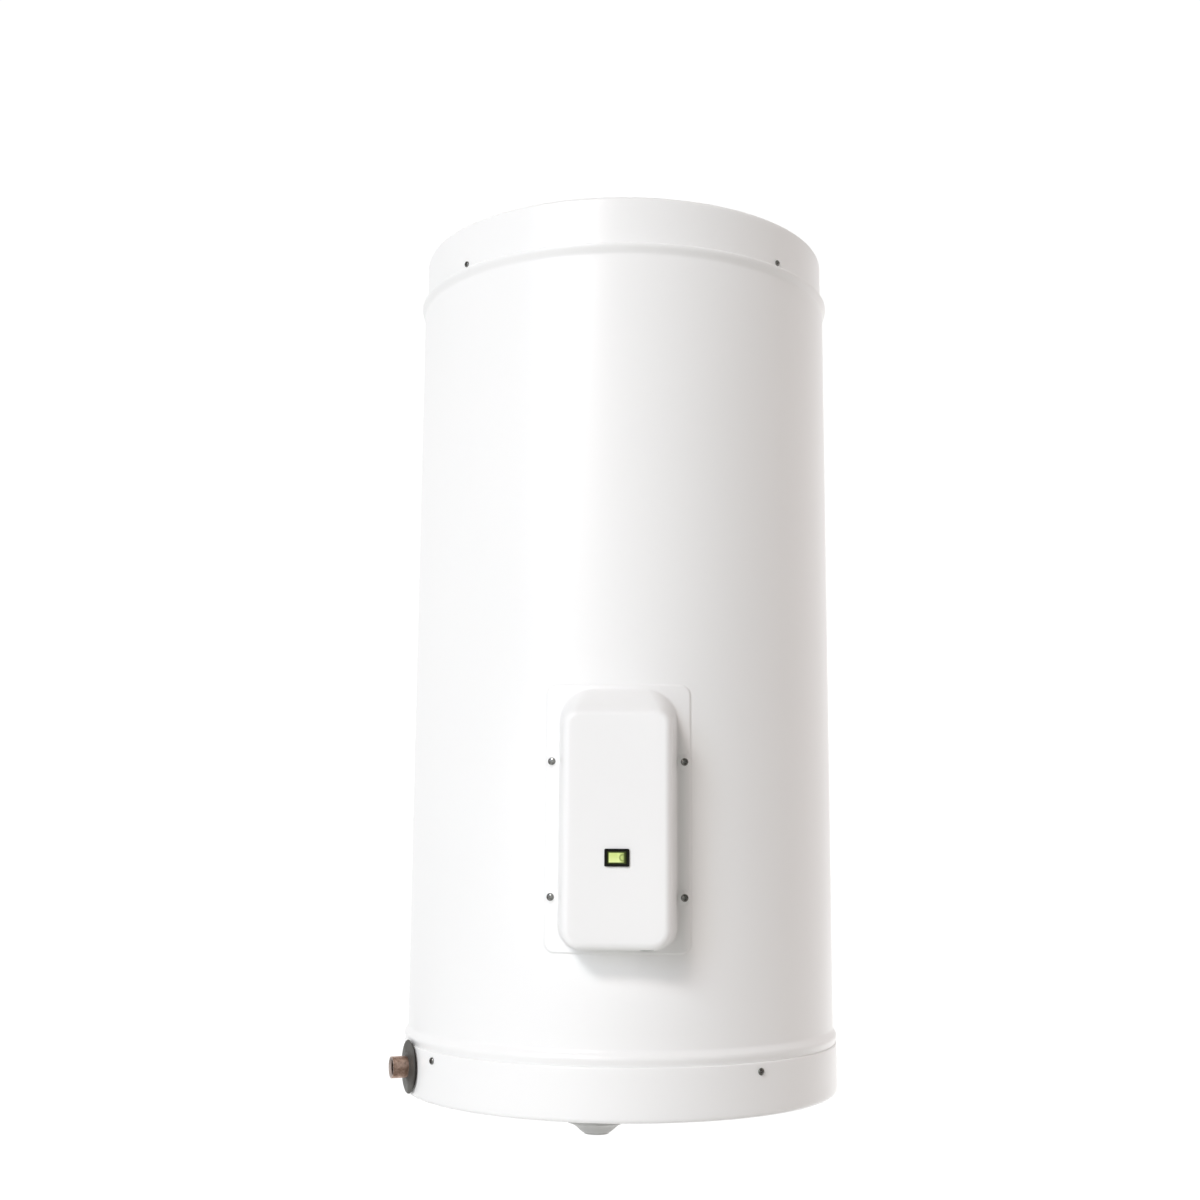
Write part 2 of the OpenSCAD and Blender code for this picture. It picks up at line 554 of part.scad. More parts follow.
// ---------- service cover ----------
// outline of the cover at depth y: the walls lean in towards the face, the top wall most of all
function cover_ring(y, inset) =
    let (f = y - face_y, hw = cover_hw - 7.9 * (1 - f / 61.4) - inset, z0 = cover_z0 + 1.6 * (1 - f / 61.4) + inset,
         z1 = cover_z1 + 0.672 * f - inset, rb = 24.5 + 0.025 * f - inset, rt = 17 + 0.483 * f - inset)
    [for (p = concat(arc(hw - rb, z0 + rb, rb, -90, 0, 7), arc(hw - rt, z1 - rt, rt, 0, 90, 9),
                     arc(rt - hw, z1 - rt, rt, 90, 180, 9), arc(rb - hw, z0 + rb, rb, 180, 270, 7))) [p[0], y, p[1]]];
// rings from the face back to the jacket, with a round edge of 10 mm, d inside the outer surface
function cover_rings(d) = concat(
    [for (i = [0:5]) let (a = 18 * i) cover_ring(face_y + d + (10 - d) * (1 - cos(a)), d + (10 - d) * (1 - sin(a)))],
    [cover_ring(-250, d)]);
module loft(rings) {
    n = len(rings[0]);
    m = len(rings);
    polyhedron(
        points = [for (r = rings) for (p = r) p],
        faces = concat([[for (i = [n - 1:-1:0]) i], [for (i = [0:n - 1]) (m - 1) * n + i]],
            [for (j = [0:m - 2]) for (i = [0:n - 1]) let (k = (i + 1) % n) [j * n + i, j * n + k, j * n + n + k]],
            [for (j = [0:m - 2]) for (i = [0:n - 1]) let (k = (i + 1) % n) [j * n + i, j * n + n + k, j * n + n + i]]),
        convexity = 4);
}
module cover_form(d) loft(cover_rings(d));
module electrical_cover() {
    color([0.96, 0.96, 0.95]) difference() {
        union() {
            difference() {
                cover_form(0);
                cylinder(r = flange_r0, h = 700, $fn = 180);
            }
            intersection() {
                translate([0, 0, 200]) ring(flange_r1, flange_r0, 400, $fn = 180);
                front_slab(flange_r1 * sin(flange_a), flange_z0, flange_z1, 14, -R - 10, -200);
            }
        }
        cover_form(cover_t);
        // switch cut-out
        front_slab(13.7, switch_z - 9.6, switch_z + 9.6, 1, face_y - 5, face_y + 10);
        for (a = [-cover_screw_a, cover_screw_a], z = screw_zs) out(a, R - 10, z) cylinder(r = 2.6, h = 40, $fn = 48);
        translate([36, cable_y, cover_z0 - 5]) cylinder(r = 7, h = 14);
    }
}
module cover_gasket() {
    color([0.3, 0.3, 0.3]) difference() {
        intersection() {
            translate([0, 0, 200]) ring(flange_r0 - 0.05, R + 0.1, 400, $fn = 180);
            front_slab((flange_r1 * sin(flange_a)) - 1.6, flange_z0 + 1.6, flange_z1 - 1.6, 13, -R - 10, -200);
        }
        front_slab(64, 253, 550, 6, -R - 20, -190);
        for (a = [-cover_screw_a, cover_screw_a], z = screw_zs) out(a, R - 10, z) cylinder(r = 2.6, h = 40, $fn = 48);
    }
}
module cover_screws() {
    color([0.8, 0.8, 0.78]) for (a = [-cover_screw_a, cover_screw_a], z = screw_zs)
        out(a, flange_r1 + 0.02, z) pan_screw(4.8, 3, 1.9, 22);
}
module cable_grommet() {
    color([0.14, 0.14, 0.14]) translate([36, cable_y, cover_z0]) rotate_extrude($fn = 64) polygon(
        [[4.25, -0.6], [8.9, -0.6], [9.4, -0.2], [9.4, 0.3], [6.9, 0.3], [6.9, 3.8], [9.0, 3.8], [9.0, 5], [6, 7], [4.25, 7]]);
}

// ---------- rocker switch ----------
module switch_housing() {
    hw = bezel_w / 2;
    hh = bezel_h / 2;
    color([0.05, 0.05, 0.05]) difference() {
        union() {
            front_slab(hw, switch_z - hh, switch_z + hh, 1.6, face_y - 2.2, face_y - 0.02);
            front_slab(13.5, switch_z - 9.4, switch_z + 9.4, 0.8, face_y - 0.5, face_y + 24);
        }
        front_slab(11.8, switch_z - 7.5, switch_z + 7.5, 0.6, face_y - 5, face_y + 14.5);
        translate([0, pivot_y, switch_z - 8.7]) cylinder(r = 1.56, h = 17.4, $fn = 48);
        for (x = [-8, 0, 8]) translate([x - 0.45, face_y + 12, switch_z - 3.2]) cube([0.9, 20, 6.4]);
    }
}
rocker_pts = concat([[-10.3, -5.1], [-9.2, -5.3], [0, -3.9], [9.2, -5.3], [10.3, -5.1]],
    [for (i = [0:6]) let (a = -23 + 40 * i / 6) [11.5 * cos(a), 11.5 * sin(a)]],
    [[5, 4], [-5, 4]],
    [for (i = [0:6]) let (a = 163 + 40 * i / 6) [11.5 * cos(a), 11.5 * sin(a)]]);
module switch_rocker() {
    color([0.72, 0.85, 0.1]) translate([0, pivot_y, switch_z]) rotate([0, 0, rocker_tilt]) {
        difference() {
            translate([0, 0, -7.2]) linear_extrude(height = 14.4) polygon(rocker_pts);
            // hollow for the lamp light
            translate([-5, 1, -5]) cube([10, 6, 10]);
        }
        translate([0, 0, -8.5]) cylinder(r = 1.5, h = 17, $fn = 48);
    }
}
module switch_lamp() {
    color([1, 0.6, 0.3]) translate([-3.5, face_y + 11.6, switch_z]) rotate([0, 90, 0]) {
        cylinder(r = 1.9, h = 7, $fn = 32);
        sphere(r = 1.9, $fn = 32);
    }
}
module switch_terminals() {
    color([0.8, 0.7, 0.4]) for (x = [-8, 0, 8]) translate([x - 0.4, face_y + 14.8, switch_z - 3.15]) cube([0.8, 17, 6.3]);
}

// ---------- water connections ----------
module pipe_run(az, r, z_top) {
    rotate([0, 0, az]) {
        translate([0, -(R + stub_out), pipe_z]) rotate([-90, 0, 0])
            cylinder(r = r, h = R + stub_out - riser_r - bend_r);
        translate([0, -(riser_r + bend_r), pipe_z + bend_r]) rotate([90, 0, 90]) rotate([0, 0, -90])
            rotate_extrude(angle = 90) translate([bend_r, 0]) circle(r = r);
        translate([0, -riser_r, pipe_z + bend_r]) cylinder(r = r, h = z_top - pipe_z - bend_r);
    }
}
module open_pipe(az, z_top) {
    difference() {
        union() {
            pipe_run(az, run_r, z_top);
            // swaged free end that a fitting slides over
            out(az, skirt_b + 7.9, pipe_z) cylinder(r = pipe_r, h = R + stub_out - skirt_b - 7.9);
        }
        pipe_run(az, run_r - pipe_t, z_top);
        out(az, skirt_b + 9.1, pipe_z) cylinder(r = pipe_r - pipe_t, h = 60);
    }
}
module cold_inlet_pipe() { color([0.66, 0.42, 0.33]) open_pipe(cold_az, 150); }
module hot_outlet_pipe() { color([0.66, 0.42, 0.33]) open_pipe(hot_az, 150); }
module hot_riser_tube() {
    color([0.75, 0.76, 0.78]) rotate([0, 0, hot_az]) translate([0, -riser_r, 130])
        ring(run_r - pipe_t - 0.1, run_r - pipe_t - 1.1, tz1 + 43 - 130);
}
module inlet_diffuser() {
    color([0.75, 0.76, 0.78]) rotate([0, 0, cold_az]) translate([0, -riser_r, 0]) {
        translate([0, 0, 141]) ring(run_r + 2.2, run_r + 0.1, 10);
        for (i = [0:2]) rotate([0, 0, 120 * i]) translate([run_r + 0.4, -1.5, 147]) cube([1.6, 3, 18]);
        translate([0, 0, 165]) cylinder(r = 30, h = 1.5);
    }
}
module collar(az) {
    color([0.55, 0.56, 0.54]) out(az, skirt_b, pipe_z) rotate_extrude() polygon(
        [[run_r + 0.05, -7], [17.6, -7], [17.6, 0.1], [30.2, 0.1], [31, 0.6], [31, 1.1], [30.2, 1.6], [28.6, 1.7],
         [28.6, 2.3], [33.4, 2.3], [34.4, 2.9], [34.5, 3.7], [33.8, 4.4], [31.5, 4.8], [19, 4.9], [17, 5.5], [16.2, 6.0],
         [run_r + 0.05, 6.0]]);
}
module cold_pipe_collar() collar(cold_az);
module hot_pipe_collar() collar(hot_az);

outer_jacket();
top_lid();
bottom_lid();
top_lid_screws();
bottom_lid_screws();
lid_clip_nuts();
side_insulation();
top_insulation();
bottom_insulation();
tank_shell();
tank_top_head();
tank_bottom_head();
tank_support_ring();
base_plate();
foot_nuts();
foot_pad_front();
foot_pad_right();
foot_pad_left();
foot_stud_front();
foot_stud_right();
foot_stud_left();
element_boss();
element_gasket();
element_head();
heating_element();
element_insulator();
sensor_pocket();
sensor_bulbs();
service_frame();
control_bracket();
thermostat_body();
thermostat_knob();
cutout_body();
reset_button();
terminal_block();
terminal_screws();
earth_stud();
wires_live();
wires_neutral();
wires_earth();
electrical_cover();
cover_gasket();
cover_screws();
cable_grommet();
switch_housing();
switch_rocker();
switch_lamp();
switch_terminals();
cold_inlet_pipe();
inlet_diffuser();
hot_outlet_pipe();
hot_riser_tube();
cold_pipe_collar();
hot_pipe_collar();
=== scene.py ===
import math
import bmesh
import bpy
from mathutils import Matrix, Vector


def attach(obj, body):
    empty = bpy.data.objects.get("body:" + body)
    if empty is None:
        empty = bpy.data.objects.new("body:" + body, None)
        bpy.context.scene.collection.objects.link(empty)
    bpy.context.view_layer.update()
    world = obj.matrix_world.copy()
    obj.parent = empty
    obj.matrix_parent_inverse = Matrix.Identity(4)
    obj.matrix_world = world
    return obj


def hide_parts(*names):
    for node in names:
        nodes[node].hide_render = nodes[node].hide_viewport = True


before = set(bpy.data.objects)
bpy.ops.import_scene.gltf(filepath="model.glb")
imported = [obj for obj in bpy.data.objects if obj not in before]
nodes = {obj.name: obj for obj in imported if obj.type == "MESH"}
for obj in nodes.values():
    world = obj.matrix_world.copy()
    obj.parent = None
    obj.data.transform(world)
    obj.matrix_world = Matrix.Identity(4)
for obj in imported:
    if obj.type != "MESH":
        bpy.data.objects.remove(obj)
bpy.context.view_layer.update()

scene = bpy.context.scene
MM = 0.001

# ------------------------------------------------------------------ sizes, all in mm, the same as the CAD's
R = 295.0
BEAD = 4.6
TOTAL = 1215.0
FOOT_GAP = 34.5
ZB_LID = FOOT_GAP + 66.0
ZT_LID = TOTAL - 65.0
CREST = R + BEAD
ZB_CREST = ZB_LID + 9.5
ZT_OUT = ZT_LID - 18.0
ZT_CREST = ZT_LID - 4.0
NECK_B = R - 1.6
NECK_T = R - 4.4
SKIRT_B = R + 4.3
GROOVE_B = R + 2.45    # floor of the groove over the bottom lid
SKIRT_T = NECK_T + 1.4
JT = 1.4
LT = 1.2
FOOT_AZ = -9.6
FOOT_R = 165.0
COLD_AZ = -67.5
HOT_AZ = -112.0
PIPE_Z = 73.0
COVER_HW = 73.7
FACE_Y = -(R + 52.0)
COVER_Z0 = 241.0
COVER_Z1 = 528.0
COVER_TOP = 560.0
COVER_EDGE = 10.0
FL0, FL1 = R + 1.6, R + 4.4
FLV = R + 1.95
SCREW_A = 16.1
SCREW_ZS = (302.7, 469.9)
FL_A = 18.0
FL_Z0, FL_Z1 = 233.5, 567.5
SW_Z = 352.0
PIVOT_Y = FACE_Y + 3.0


# ------------------------------------------------------------------ camera
def place_camera():
    data = bpy.data.cameras.new("view_camera")
    data.sensor_fit = "HORIZONTAL"
    data.sensor_width = 36.0
    data.lens = 46.503
    data.clip_end = 200.0
    cam = bpy.data.objects.new("view_camera", data)
    scene.collection.objects.link(cam)
    az = math.radians(0.83)
    loc = Vector((2.238 * math.sin(az), -2.238 * math.cos(az), 0.3772))
    fwd = Vector((-loc.x, -loc.y, 0.0)).normalized()
    fwd = Matrix.Rotation(0.0145, 3, "Z") @ fwd
    fwd = (fwd * math.cos(0.1513) + Vector((0, 0, 1)) * math.sin(0.1513)).normalized()
    right = fwd.cross(Vector((0, 0, 1))).normalized()
    up = right.cross(fwd).normalized()
    roll = 0.007
    r2 = right * math.cos(roll) + up * math.sin(roll)
    u2 = up * math.cos(roll) - right * math.sin(roll)
    m = Matrix((r2, u2, -fwd)).transposed().to_4x4()
    m.translation = loc
    cam.matrix_world = m
    scene.camera = cam
    return cam


camera = place_camera()


# ------------------------------------------------------------------ node helpers
class Tree:
    def __init__(self, name):
        self.mat = bpy.data.materials.new(name)
        self.mat.use_nodes = True
        self.nt = self.mat.node_tree
        self.nt.nodes.clear()
        self.out = self.new("ShaderNodeOutputMaterial")
        self.p = self.new("ShaderNodeBsdfPrincipled")
        self.link(self.p.outputs[0], self.out.inputs["Surface"])
        self.tc = self.new("ShaderNodeTexCoord")
        self.pos = self.tc.outputs["Object"]

    def new(self, kind, **props):
        n = self.nt.nodes.new(kind)
        for k, v in props.items():
            setattr(n, k, v)
        return n

    def link(self, a, b):
        self.nt.links.new(a, b)

    def mapping(self, scale=(1, 1, 1), loc=(0, 0, 0), rot=(0, 0, 0)):
        n = self.new("ShaderNodeMapping")
        n.inputs["Scale"].default_value = scale
        n.inputs["Location"].default_value = loc
        n.inputs["Rotation"].default_value = rot
        self.link(self.pos, n.inputs["Vector"])
        return n.outputs[0]

    def noise(self, scale, detail=3.0, rough=0.5, vec=None, dist=0.0):
        n = self.new("ShaderNodeTexNoise")
        n.inputs["Scale"].default_value = scale
        n.inputs["Detail"].default_value = detail
        n.inputs["Roughness"].default_value = rough
        n.inputs["Distortion"].default_value = dist
        self.link(vec if vec is not None else self.pos, n.inputs["Vector"])
        return n.outputs["Fac"]

    def voronoi(self, scale, feature="F1", vec=None, rnd=1.0):
        n = self.new("ShaderNodeTexVoronoi")
        n.feature = feature
        n.inputs["Scale"].default_value = scale
        n.inputs["Randomness"].default_value = rnd
        self.link(vec if vec is not None else self.pos, n.inputs["Vector"])
        return n.outputs["Distance"]

    def ramp(self, fac, stops, interp="LINEAR"):
        n = self.new("ShaderNodeValToRGB")
        n.color_ramp.interpolation = interp
        e = n.color_ramp.elements
        while len(e) > 1:
            e.remove(e[len(e) - 1])
        e[0].position = stops[0][0]
        for p, c in stops[1:]:
            e.new(p)
        for el, (p, c) in zip(e, stops):
            el.position = p
            el.color = (c, c, c, 1) if isinstance(c, (int, float)) else (*c[:3], 1)
        self.link(fac, n.inputs["Fac"])
        return n.outputs["Color"]

    def remap(self, fac, a0, a1, b0, b1, smooth=False):
        n = self.new("ShaderNodeMapRange")
        if smooth:
            n.interpolation_type = "SMOOTHSTEP"
        for k, v in zip(("From Min", "From Max", "To Min", "To Max"), (a0, a1, b0, b1)):
            n.inputs[k].default_value = v
        self.link(fac, n.inputs["Value"])
        return n.outputs[0]

    def math(self, op, a, b=None):
        n = self.new("ShaderNodeMath", operation=op)
        for i, v in enumerate((a, b)):
            if v is None:
                continue
            if isinstance(v, (int, float)):
                n.inputs[i].default_value = v
            else:
                self.link(v, n.inputs[i])
        return n.outputs[0]

    def mix(self, fac, a, b, blend="MIX"):
        n = self.new("ShaderNodeMix", data_type="RGBA", blend_type=blend)
        for sock, v in ((n.inputs[0], fac), (n.inputs[6], a), (n.inputs[7], b)):
            if isinstance(v, (int, float)):
                sock.default_value = v
            elif isinstance(v, (tuple, list)):
                sock.default_value = (*v[:3], 1)
            else:
                self.link(v, sock)
        return n.outputs[2]

    def split(self):
        n = self.new("ShaderNodeSeparateXYZ")
        self.link(self.pos, n.inputs[0])
        return n.outputs

    def bump(self, height, strength, dist, prev=None):
        n = self.new("ShaderNodeBump")
        n.inputs["Strength"].default_value = strength
        n.inputs["Distance"].default_value = dist
        self.link(height, n.inputs["Height"])
        if prev is not None:
            self.link(prev, n.inputs["Normal"])
        return n.outputs[0]

    def finish(self, color=None, rough=None, normal=None, **const):
        for key, v in (("Base Color", color), ("Roughness", rough), ("Normal", normal)):
            if v is None:
                continue
            if isinstance(v, (int, float)):
                self.p.inputs[key].default_value = v
            elif isinstance(v, (tuple, list)):
                self.p.inputs[key].default_value = (*v[:3], 1)
            else:
                self.link(v, self.p.inputs[key])
        for k, v in const.items():
            s = self.p.inputs[k.replace("_", " ")]
            s.default_value = (*v, 1) if isinstance(v, tuple) else v
        return self.mat


# ------------------------------------------------------------------ materials
def powder_coat():
    t = Tree("powder_coat_white")
    big = t.noise(2.2, 2.0)
    fine = t.noise(900.0, 2.0)
    col = t.mix(t.remap(big, 0.3, 0.7, 0.0, 1.0), (0.895, 0.897, 0.892), (0.912, 0.912, 0.906))
    rough = t.remap(t.noise(6.0, 4.0), 0.3, 0.7, 0.278, 0.296)
    peel = t.noise(330.0, 2.0, 0.45)
    b = t.bump(peel, 0.22, 0.00035)
    b = t.bump(fine, 0.05, 0.0001, b)
    return t.finish(col, rough, b, IOR=1.5)


def moulded_white():
    t = Tree("moulded_white_plastic")
    col = t.mix(t.remap(t.noise(5.0, 3.0), 0.3, 0.7, 0.0, 1.0), (0.885, 0.887, 0.884), (0.903, 0.904, 0.899))
    grain = t.noise(1500.0, 2.0, 0.6)
    rough = t.remap(grain, 0.3, 0.7, 0.36, 0.46)
    b = t.bump(grain, 0.12, 0.00012)
    return t.finish(col, rough, b, IOR=1.48, Subsurface_Weight=0.0)


def zinc(name="zinc_plate", tint=(0.66, 0.66, 0.63), dark=(0.40, 0.40, 0.38), scale=260.0, dull=(0.28, 0.5)):
    t = Tree(name)
    spots = t.noise(scale, 5.0, 0.65)
    col = t.ramp(spots, [(0.32, dark), (0.5, tint), (0.75, tuple(min(1.0, c * 1.12) for c in tint))])
    rough = t.remap(t.noise(scale * 2.5, 3.0), 0.3, 0.7, dull[0], dull[1])
    b = t.bump(t.noise(scale * 4, 3.0), 0.15, 0.0001)
    return t.finish(col, rough, b, Metallic=1.0)


def brushed(name, tint, rough_lo, rough_hi, stretch=(40, 40, 900)):
    t = Tree(name)
    streak = t.noise(1.0, 4.0, 0.6, t.mapping(stretch))
    cloud = t.noise(9.0, 4.0)
    col = t.mix(t.remap(cloud, 0.3, 0.7, 0, 1), tuple(c * 0.82 for c in tint), tint)
    rough = t.remap(streak, 0.3, 0.7, rough_lo, rough_hi)
    b = t.bump(streak, 0.12, 0.0001)
    return t.finish(col, rough, b, Metallic=1.0)


def copper(name, az):
    """tarnished tube; just inside its open end and on the cut rim it is painted pale, dull and not metallic, a painted
    highlight where the lit inner wall shows; deeper in the bore it is painted near black, painted shade of the bore,
    partly dark oxide
    """
    t = Tree(name)
    cloud = t.noise(70.0, 5.0, 0.62, dist=0.6)
    streak = t.noise(1.0, 5.0, 0.6, t.mapping((160, 160, 700)))
    base = t.ramp(cloud, [(0.28, (0.16, 0.095, 0.07)), (0.44, (0.38, 0.25, 0.19)), (0.58, (0.60, 0.43, 0.35)),
                          (0.8, (0.74, 0.57, 0.48))])
    dull = t.noise(190.0, 4.0, 0.7)
    col = t.mix(t.remap(dull, 0.48, 0.7, 0.0, 0.65), base, (0.17, 0.105, 0.08))
    rough = t.math("ADD", t.remap(streak, 0.3, 0.7, 0.26, 0.44), t.remap(dull, 0.45, 0.7, 0.0, 0.18))
    x, y, z = t.split()
    a = math.radians(az)
    along = t.math("ADD", t.math("MULTIPLY", x, math.sin(a)), t.math("MULTIPLY", y, -math.cos(a)))
    side = t.math("ADD", t.math("MULTIPLY", x, math.cos(a)), t.math("MULTIPLY", y, math.sin(a)))
    up = t.math("SUBTRACT", z, PIPE_Z * MM)
    off = t.math("SQRT", t.math("ADD", t.math("MULTIPLY", side, side), t.math("MULTIPLY", up, up)))
    inside = t.remap(off, 0.01345, 0.0137, 1.0, 0.0)
    # painted highlight: the rim and the first few mm of the bore are pale and not metallic
    mouth = t.math("MULTIPLY", inside, t.remap(along, 0.3215, 0.3232, 0.0, 1.0, True))
    # painted shade: deeper in the bore the colour is near black, partly dark oxide
    deep = t.math("MULTIPLY", t.remap(off, 0.0129, 0.0131, 1.0, 0.0), t.remap(along, 0.3215, 0.3232, 1.0, 0.0, True))
    col = t.mix(mouth, col, t.ramp(dull, [(0.3, (0.50, 0.42, 0.38)), (0.7, (0.68, 0.60, 0.56))]))
    col = t.mix(deep, col, (0.035, 0.02, 0.014))
    t.link(t.math("MULTIPLY", t.math("SUBTRACT", 1.0, t.math("MAXIMUM", mouth, deep)), 0.72), t.p.inputs["Metallic"])
    b = t.bump(streak, 0.2, 0.00015)
    b = t.bump(t.noise(420.0, 3.0), 0.15, 0.0002, b)
    return t.finish(col, t.math("MAXIMUM", rough, t.math("MULTIPLY", mouth, 0.6)), b)


def rubber(name, c0, c1, rough=(0.62, 0.8), grain=900.0, dist=0.0002):
    t = Tree(name)
    cloud = t.noise(60.0, 5.0, 0.65)
    col = t.mix(t.remap(cloud, 0.3, 0.7, 0, 1), c0, c1)
    g = t.noise(grain, 3.0, 0.6)
    b = t.bump(g, 0.35, dist)
    return t.finish(col, t.remap(g, 0.3, 0.7, rough[0], rough[1]), b, IOR=1.5)


def collar_rubber(name, az):
    """dark moulded rubber with random mottling; painted lighter towards one side and its lower edge and darker above,
    painted light from below; painted shadow of the pipe beside it
    """
    t = Tree(name)
    x, y, z = t.split()
    a = math.radians(az)
    turn = 1.0 if az > -90 else -1.0
    side = t.math("MULTIPLY", t.math("ADD", t.math("MULTIPLY", x, math.cos(a)), t.math("MULTIPLY", y, math.sin(a))),
                  1000.0 * turn)
    up = t.math("MULTIPLY", t.math("SUBTRACT", z, PIPE_Z * MM), 1000.0)
    cloud = t.noise(85.0, 5.0, 0.65, dist=0.4)
    # painted light: v rises towards one side and the lower edge, so the collar is painted lighter there and darker
    # above; the noise adds random mottling
    v = t.math("ADD", t.math("MULTIPLY", side, -0.75 / 34.0), t.math("MULTIPLY", up, -0.4 / 34.0))
    v = t.math("ADD", v, t.math("MULTIPLY", t.math("SUBTRACT", cloud, 0.5), 1.1))
    v = t.math("ADD", t.math("MULTIPLY", v, 0.5), 0.5)
    col = t.ramp(v, [(0.16, (0.10, 0.099, 0.092)), (0.36, (0.088, 0.086, 0.078)), (0.52, (0.082, 0.079, 0.071)),
                     (0.64, (0.15, 0.15, 0.142)), (0.76, (0.23, 0.232, 0.225)), (0.90, (0.30, 0.302, 0.295))])
    # painted shadow of the pipe: the collar is darker beside the pipe
    pipe_shadow = t.math("MULTIPLY", t.remap(side, 3.0, 9.0, 0.0, 1.0, True),
                    t.remap(t.math("ABSOLUTE", up), 15.0, 25.0, 1.0, 0.0, True))
    col = t.mix(t.math("MULTIPLY", pipe_shadow, 0.6), col, (0.032, 0.028, 0.024))
    g = t.noise(700.0, 3.0, 0.6)
    b = t.bump(g, 0.35, 0.0003)
    b = t.bump(cloud, 0.25, 0.0006, b)
    return t.finish(col, t.remap(g, 0.3, 0.7, 0.5, 0.7), b, IOR=1.45)


def plastic(name, c0, c1, rough=(0.38, 0.5), grain=1300.0, dist=0.0001, strength=0.25, **const):
    t = Tree(name)
    col = t.mix(t.remap(t.noise(35.0, 3.0), 0.3, 0.7, 0, 1), c0, c1)
    g = t.noise(grain, 2.0, 0.6)
    return t.finish(col, t.remap(g, 0.3, 0.7, rough[0], rough[1]), t.bump(g, strength, dist), **const)


def foam(name, c0, c1, cell, depth):
    t = Tree(name)
    v = t.voronoi(cell)
    n = t.noise(cell * 0.2, 4.0)
    col = t.mix(t.remap(n, 0.3, 0.7, 0, 1), c0, c1)
    col = t.mix(t.remap(v, 0.0, 0.6, 0.25, 0.0), col, tuple(c * 0.7 for c in c0))
    b = t.bump(v, 0.6, depth)
    b = t.bump(n, 0.4, depth * 3, b)
    return t.finish(col, 0.85, b)


def rocker_green():
    """pale green lens lit from behind, with a ring mark on its right end; that end is painted dark, painted shade where
    it dips into the frame, and the glow is painted dimmer towards the top, painted shade under the frame's rim
    """
    t = Tree("lit_green_rocker")
    x, y, z = t.split()
    xm = t.math("MULTIPLY", x, 1000.0)
    zm = t.math("MULTIPLY", t.math("SUBTRACT", z, SW_Z * MM), 1000.0)
    # area of the lens that glows; beyond x 7.2 to 9.6 mm the right end is left dark, painted shade where it dips into
    # the frame
    lit = t.math("MULTIPLY", t.remap(xm, -10.6, -8.6, 0.0, 1.0, True), t.remap(xm, 7.2, 9.6, 1.0, 0.0, True))
    lit = t.math("MULTIPLY", lit, t.remap(t.math("ABSOLUTE", zm), 5.3, 6.2, 1.0, 0.0, True))
    dx = t.math("SUBTRACT", xm, 7.4)
    ring = t.math("SQRT", t.math("ADD", t.math("MULTIPLY", dx, dx), t.math("MULTIPLY", zm, zm)))
    mark = t.remap(t.math("ABSOLUTE", t.math("SUBTRACT", ring, 3.7)), 0.6, 1.3, 1.0, 0.0, True)
    n = t.noise(400.0, 3.0)
    # painted shade: the glow is dimmer towards the top, under the frame's upper rim
    low = t.remap(zm, -5.5, 3.0, 1.0, 0.0, True)
    glow = t.mix(low, (0.50, 0.59, 0.20), (0.62, 0.69, 0.31))
    # painted shade: the glow darkens towards the right end
    glow = t.mix(t.remap(xm, 1.5, 8.0, 0.0, 0.85, True), glow, (0.20, 0.26, 0.055))
    glow = t.mix(mark, glow, (0.11, 0.145, 0.022))
    emit = t.mix(lit, (0.022, 0.03, 0.006), glow)
    # base colour dark outside the glowing area, painted shade on the right end
    col = t.mix(lit, (0.03, 0.04, 0.012), t.mix(n, (0.20, 0.24, 0.09), (0.24, 0.28, 0.11)))
    t.link(emit, t.p.inputs["Emission Color"])
    return t.finish(col, t.remap(n, 0.3, 0.7, 0.25, 0.35), t.bump(t.noise(900.0, 2.0), 0.1, 0.0001),
                    Emission_Strength=1.0, IOR=1.3)


def lamp():
    t = Tree("neon_lamp")
    n = t.noise(500.0, 2.0)
    col = t.mix(n, (0.9, 0.6, 0.4), (1.0, 0.75, 0.5))
    return t.finish(col, 0.08, t.bump(n, 0.05, 0.0001), Emission_Color=(1.0, 0.5, 0.15), Emission_Strength=1.2, IOR=1.5)


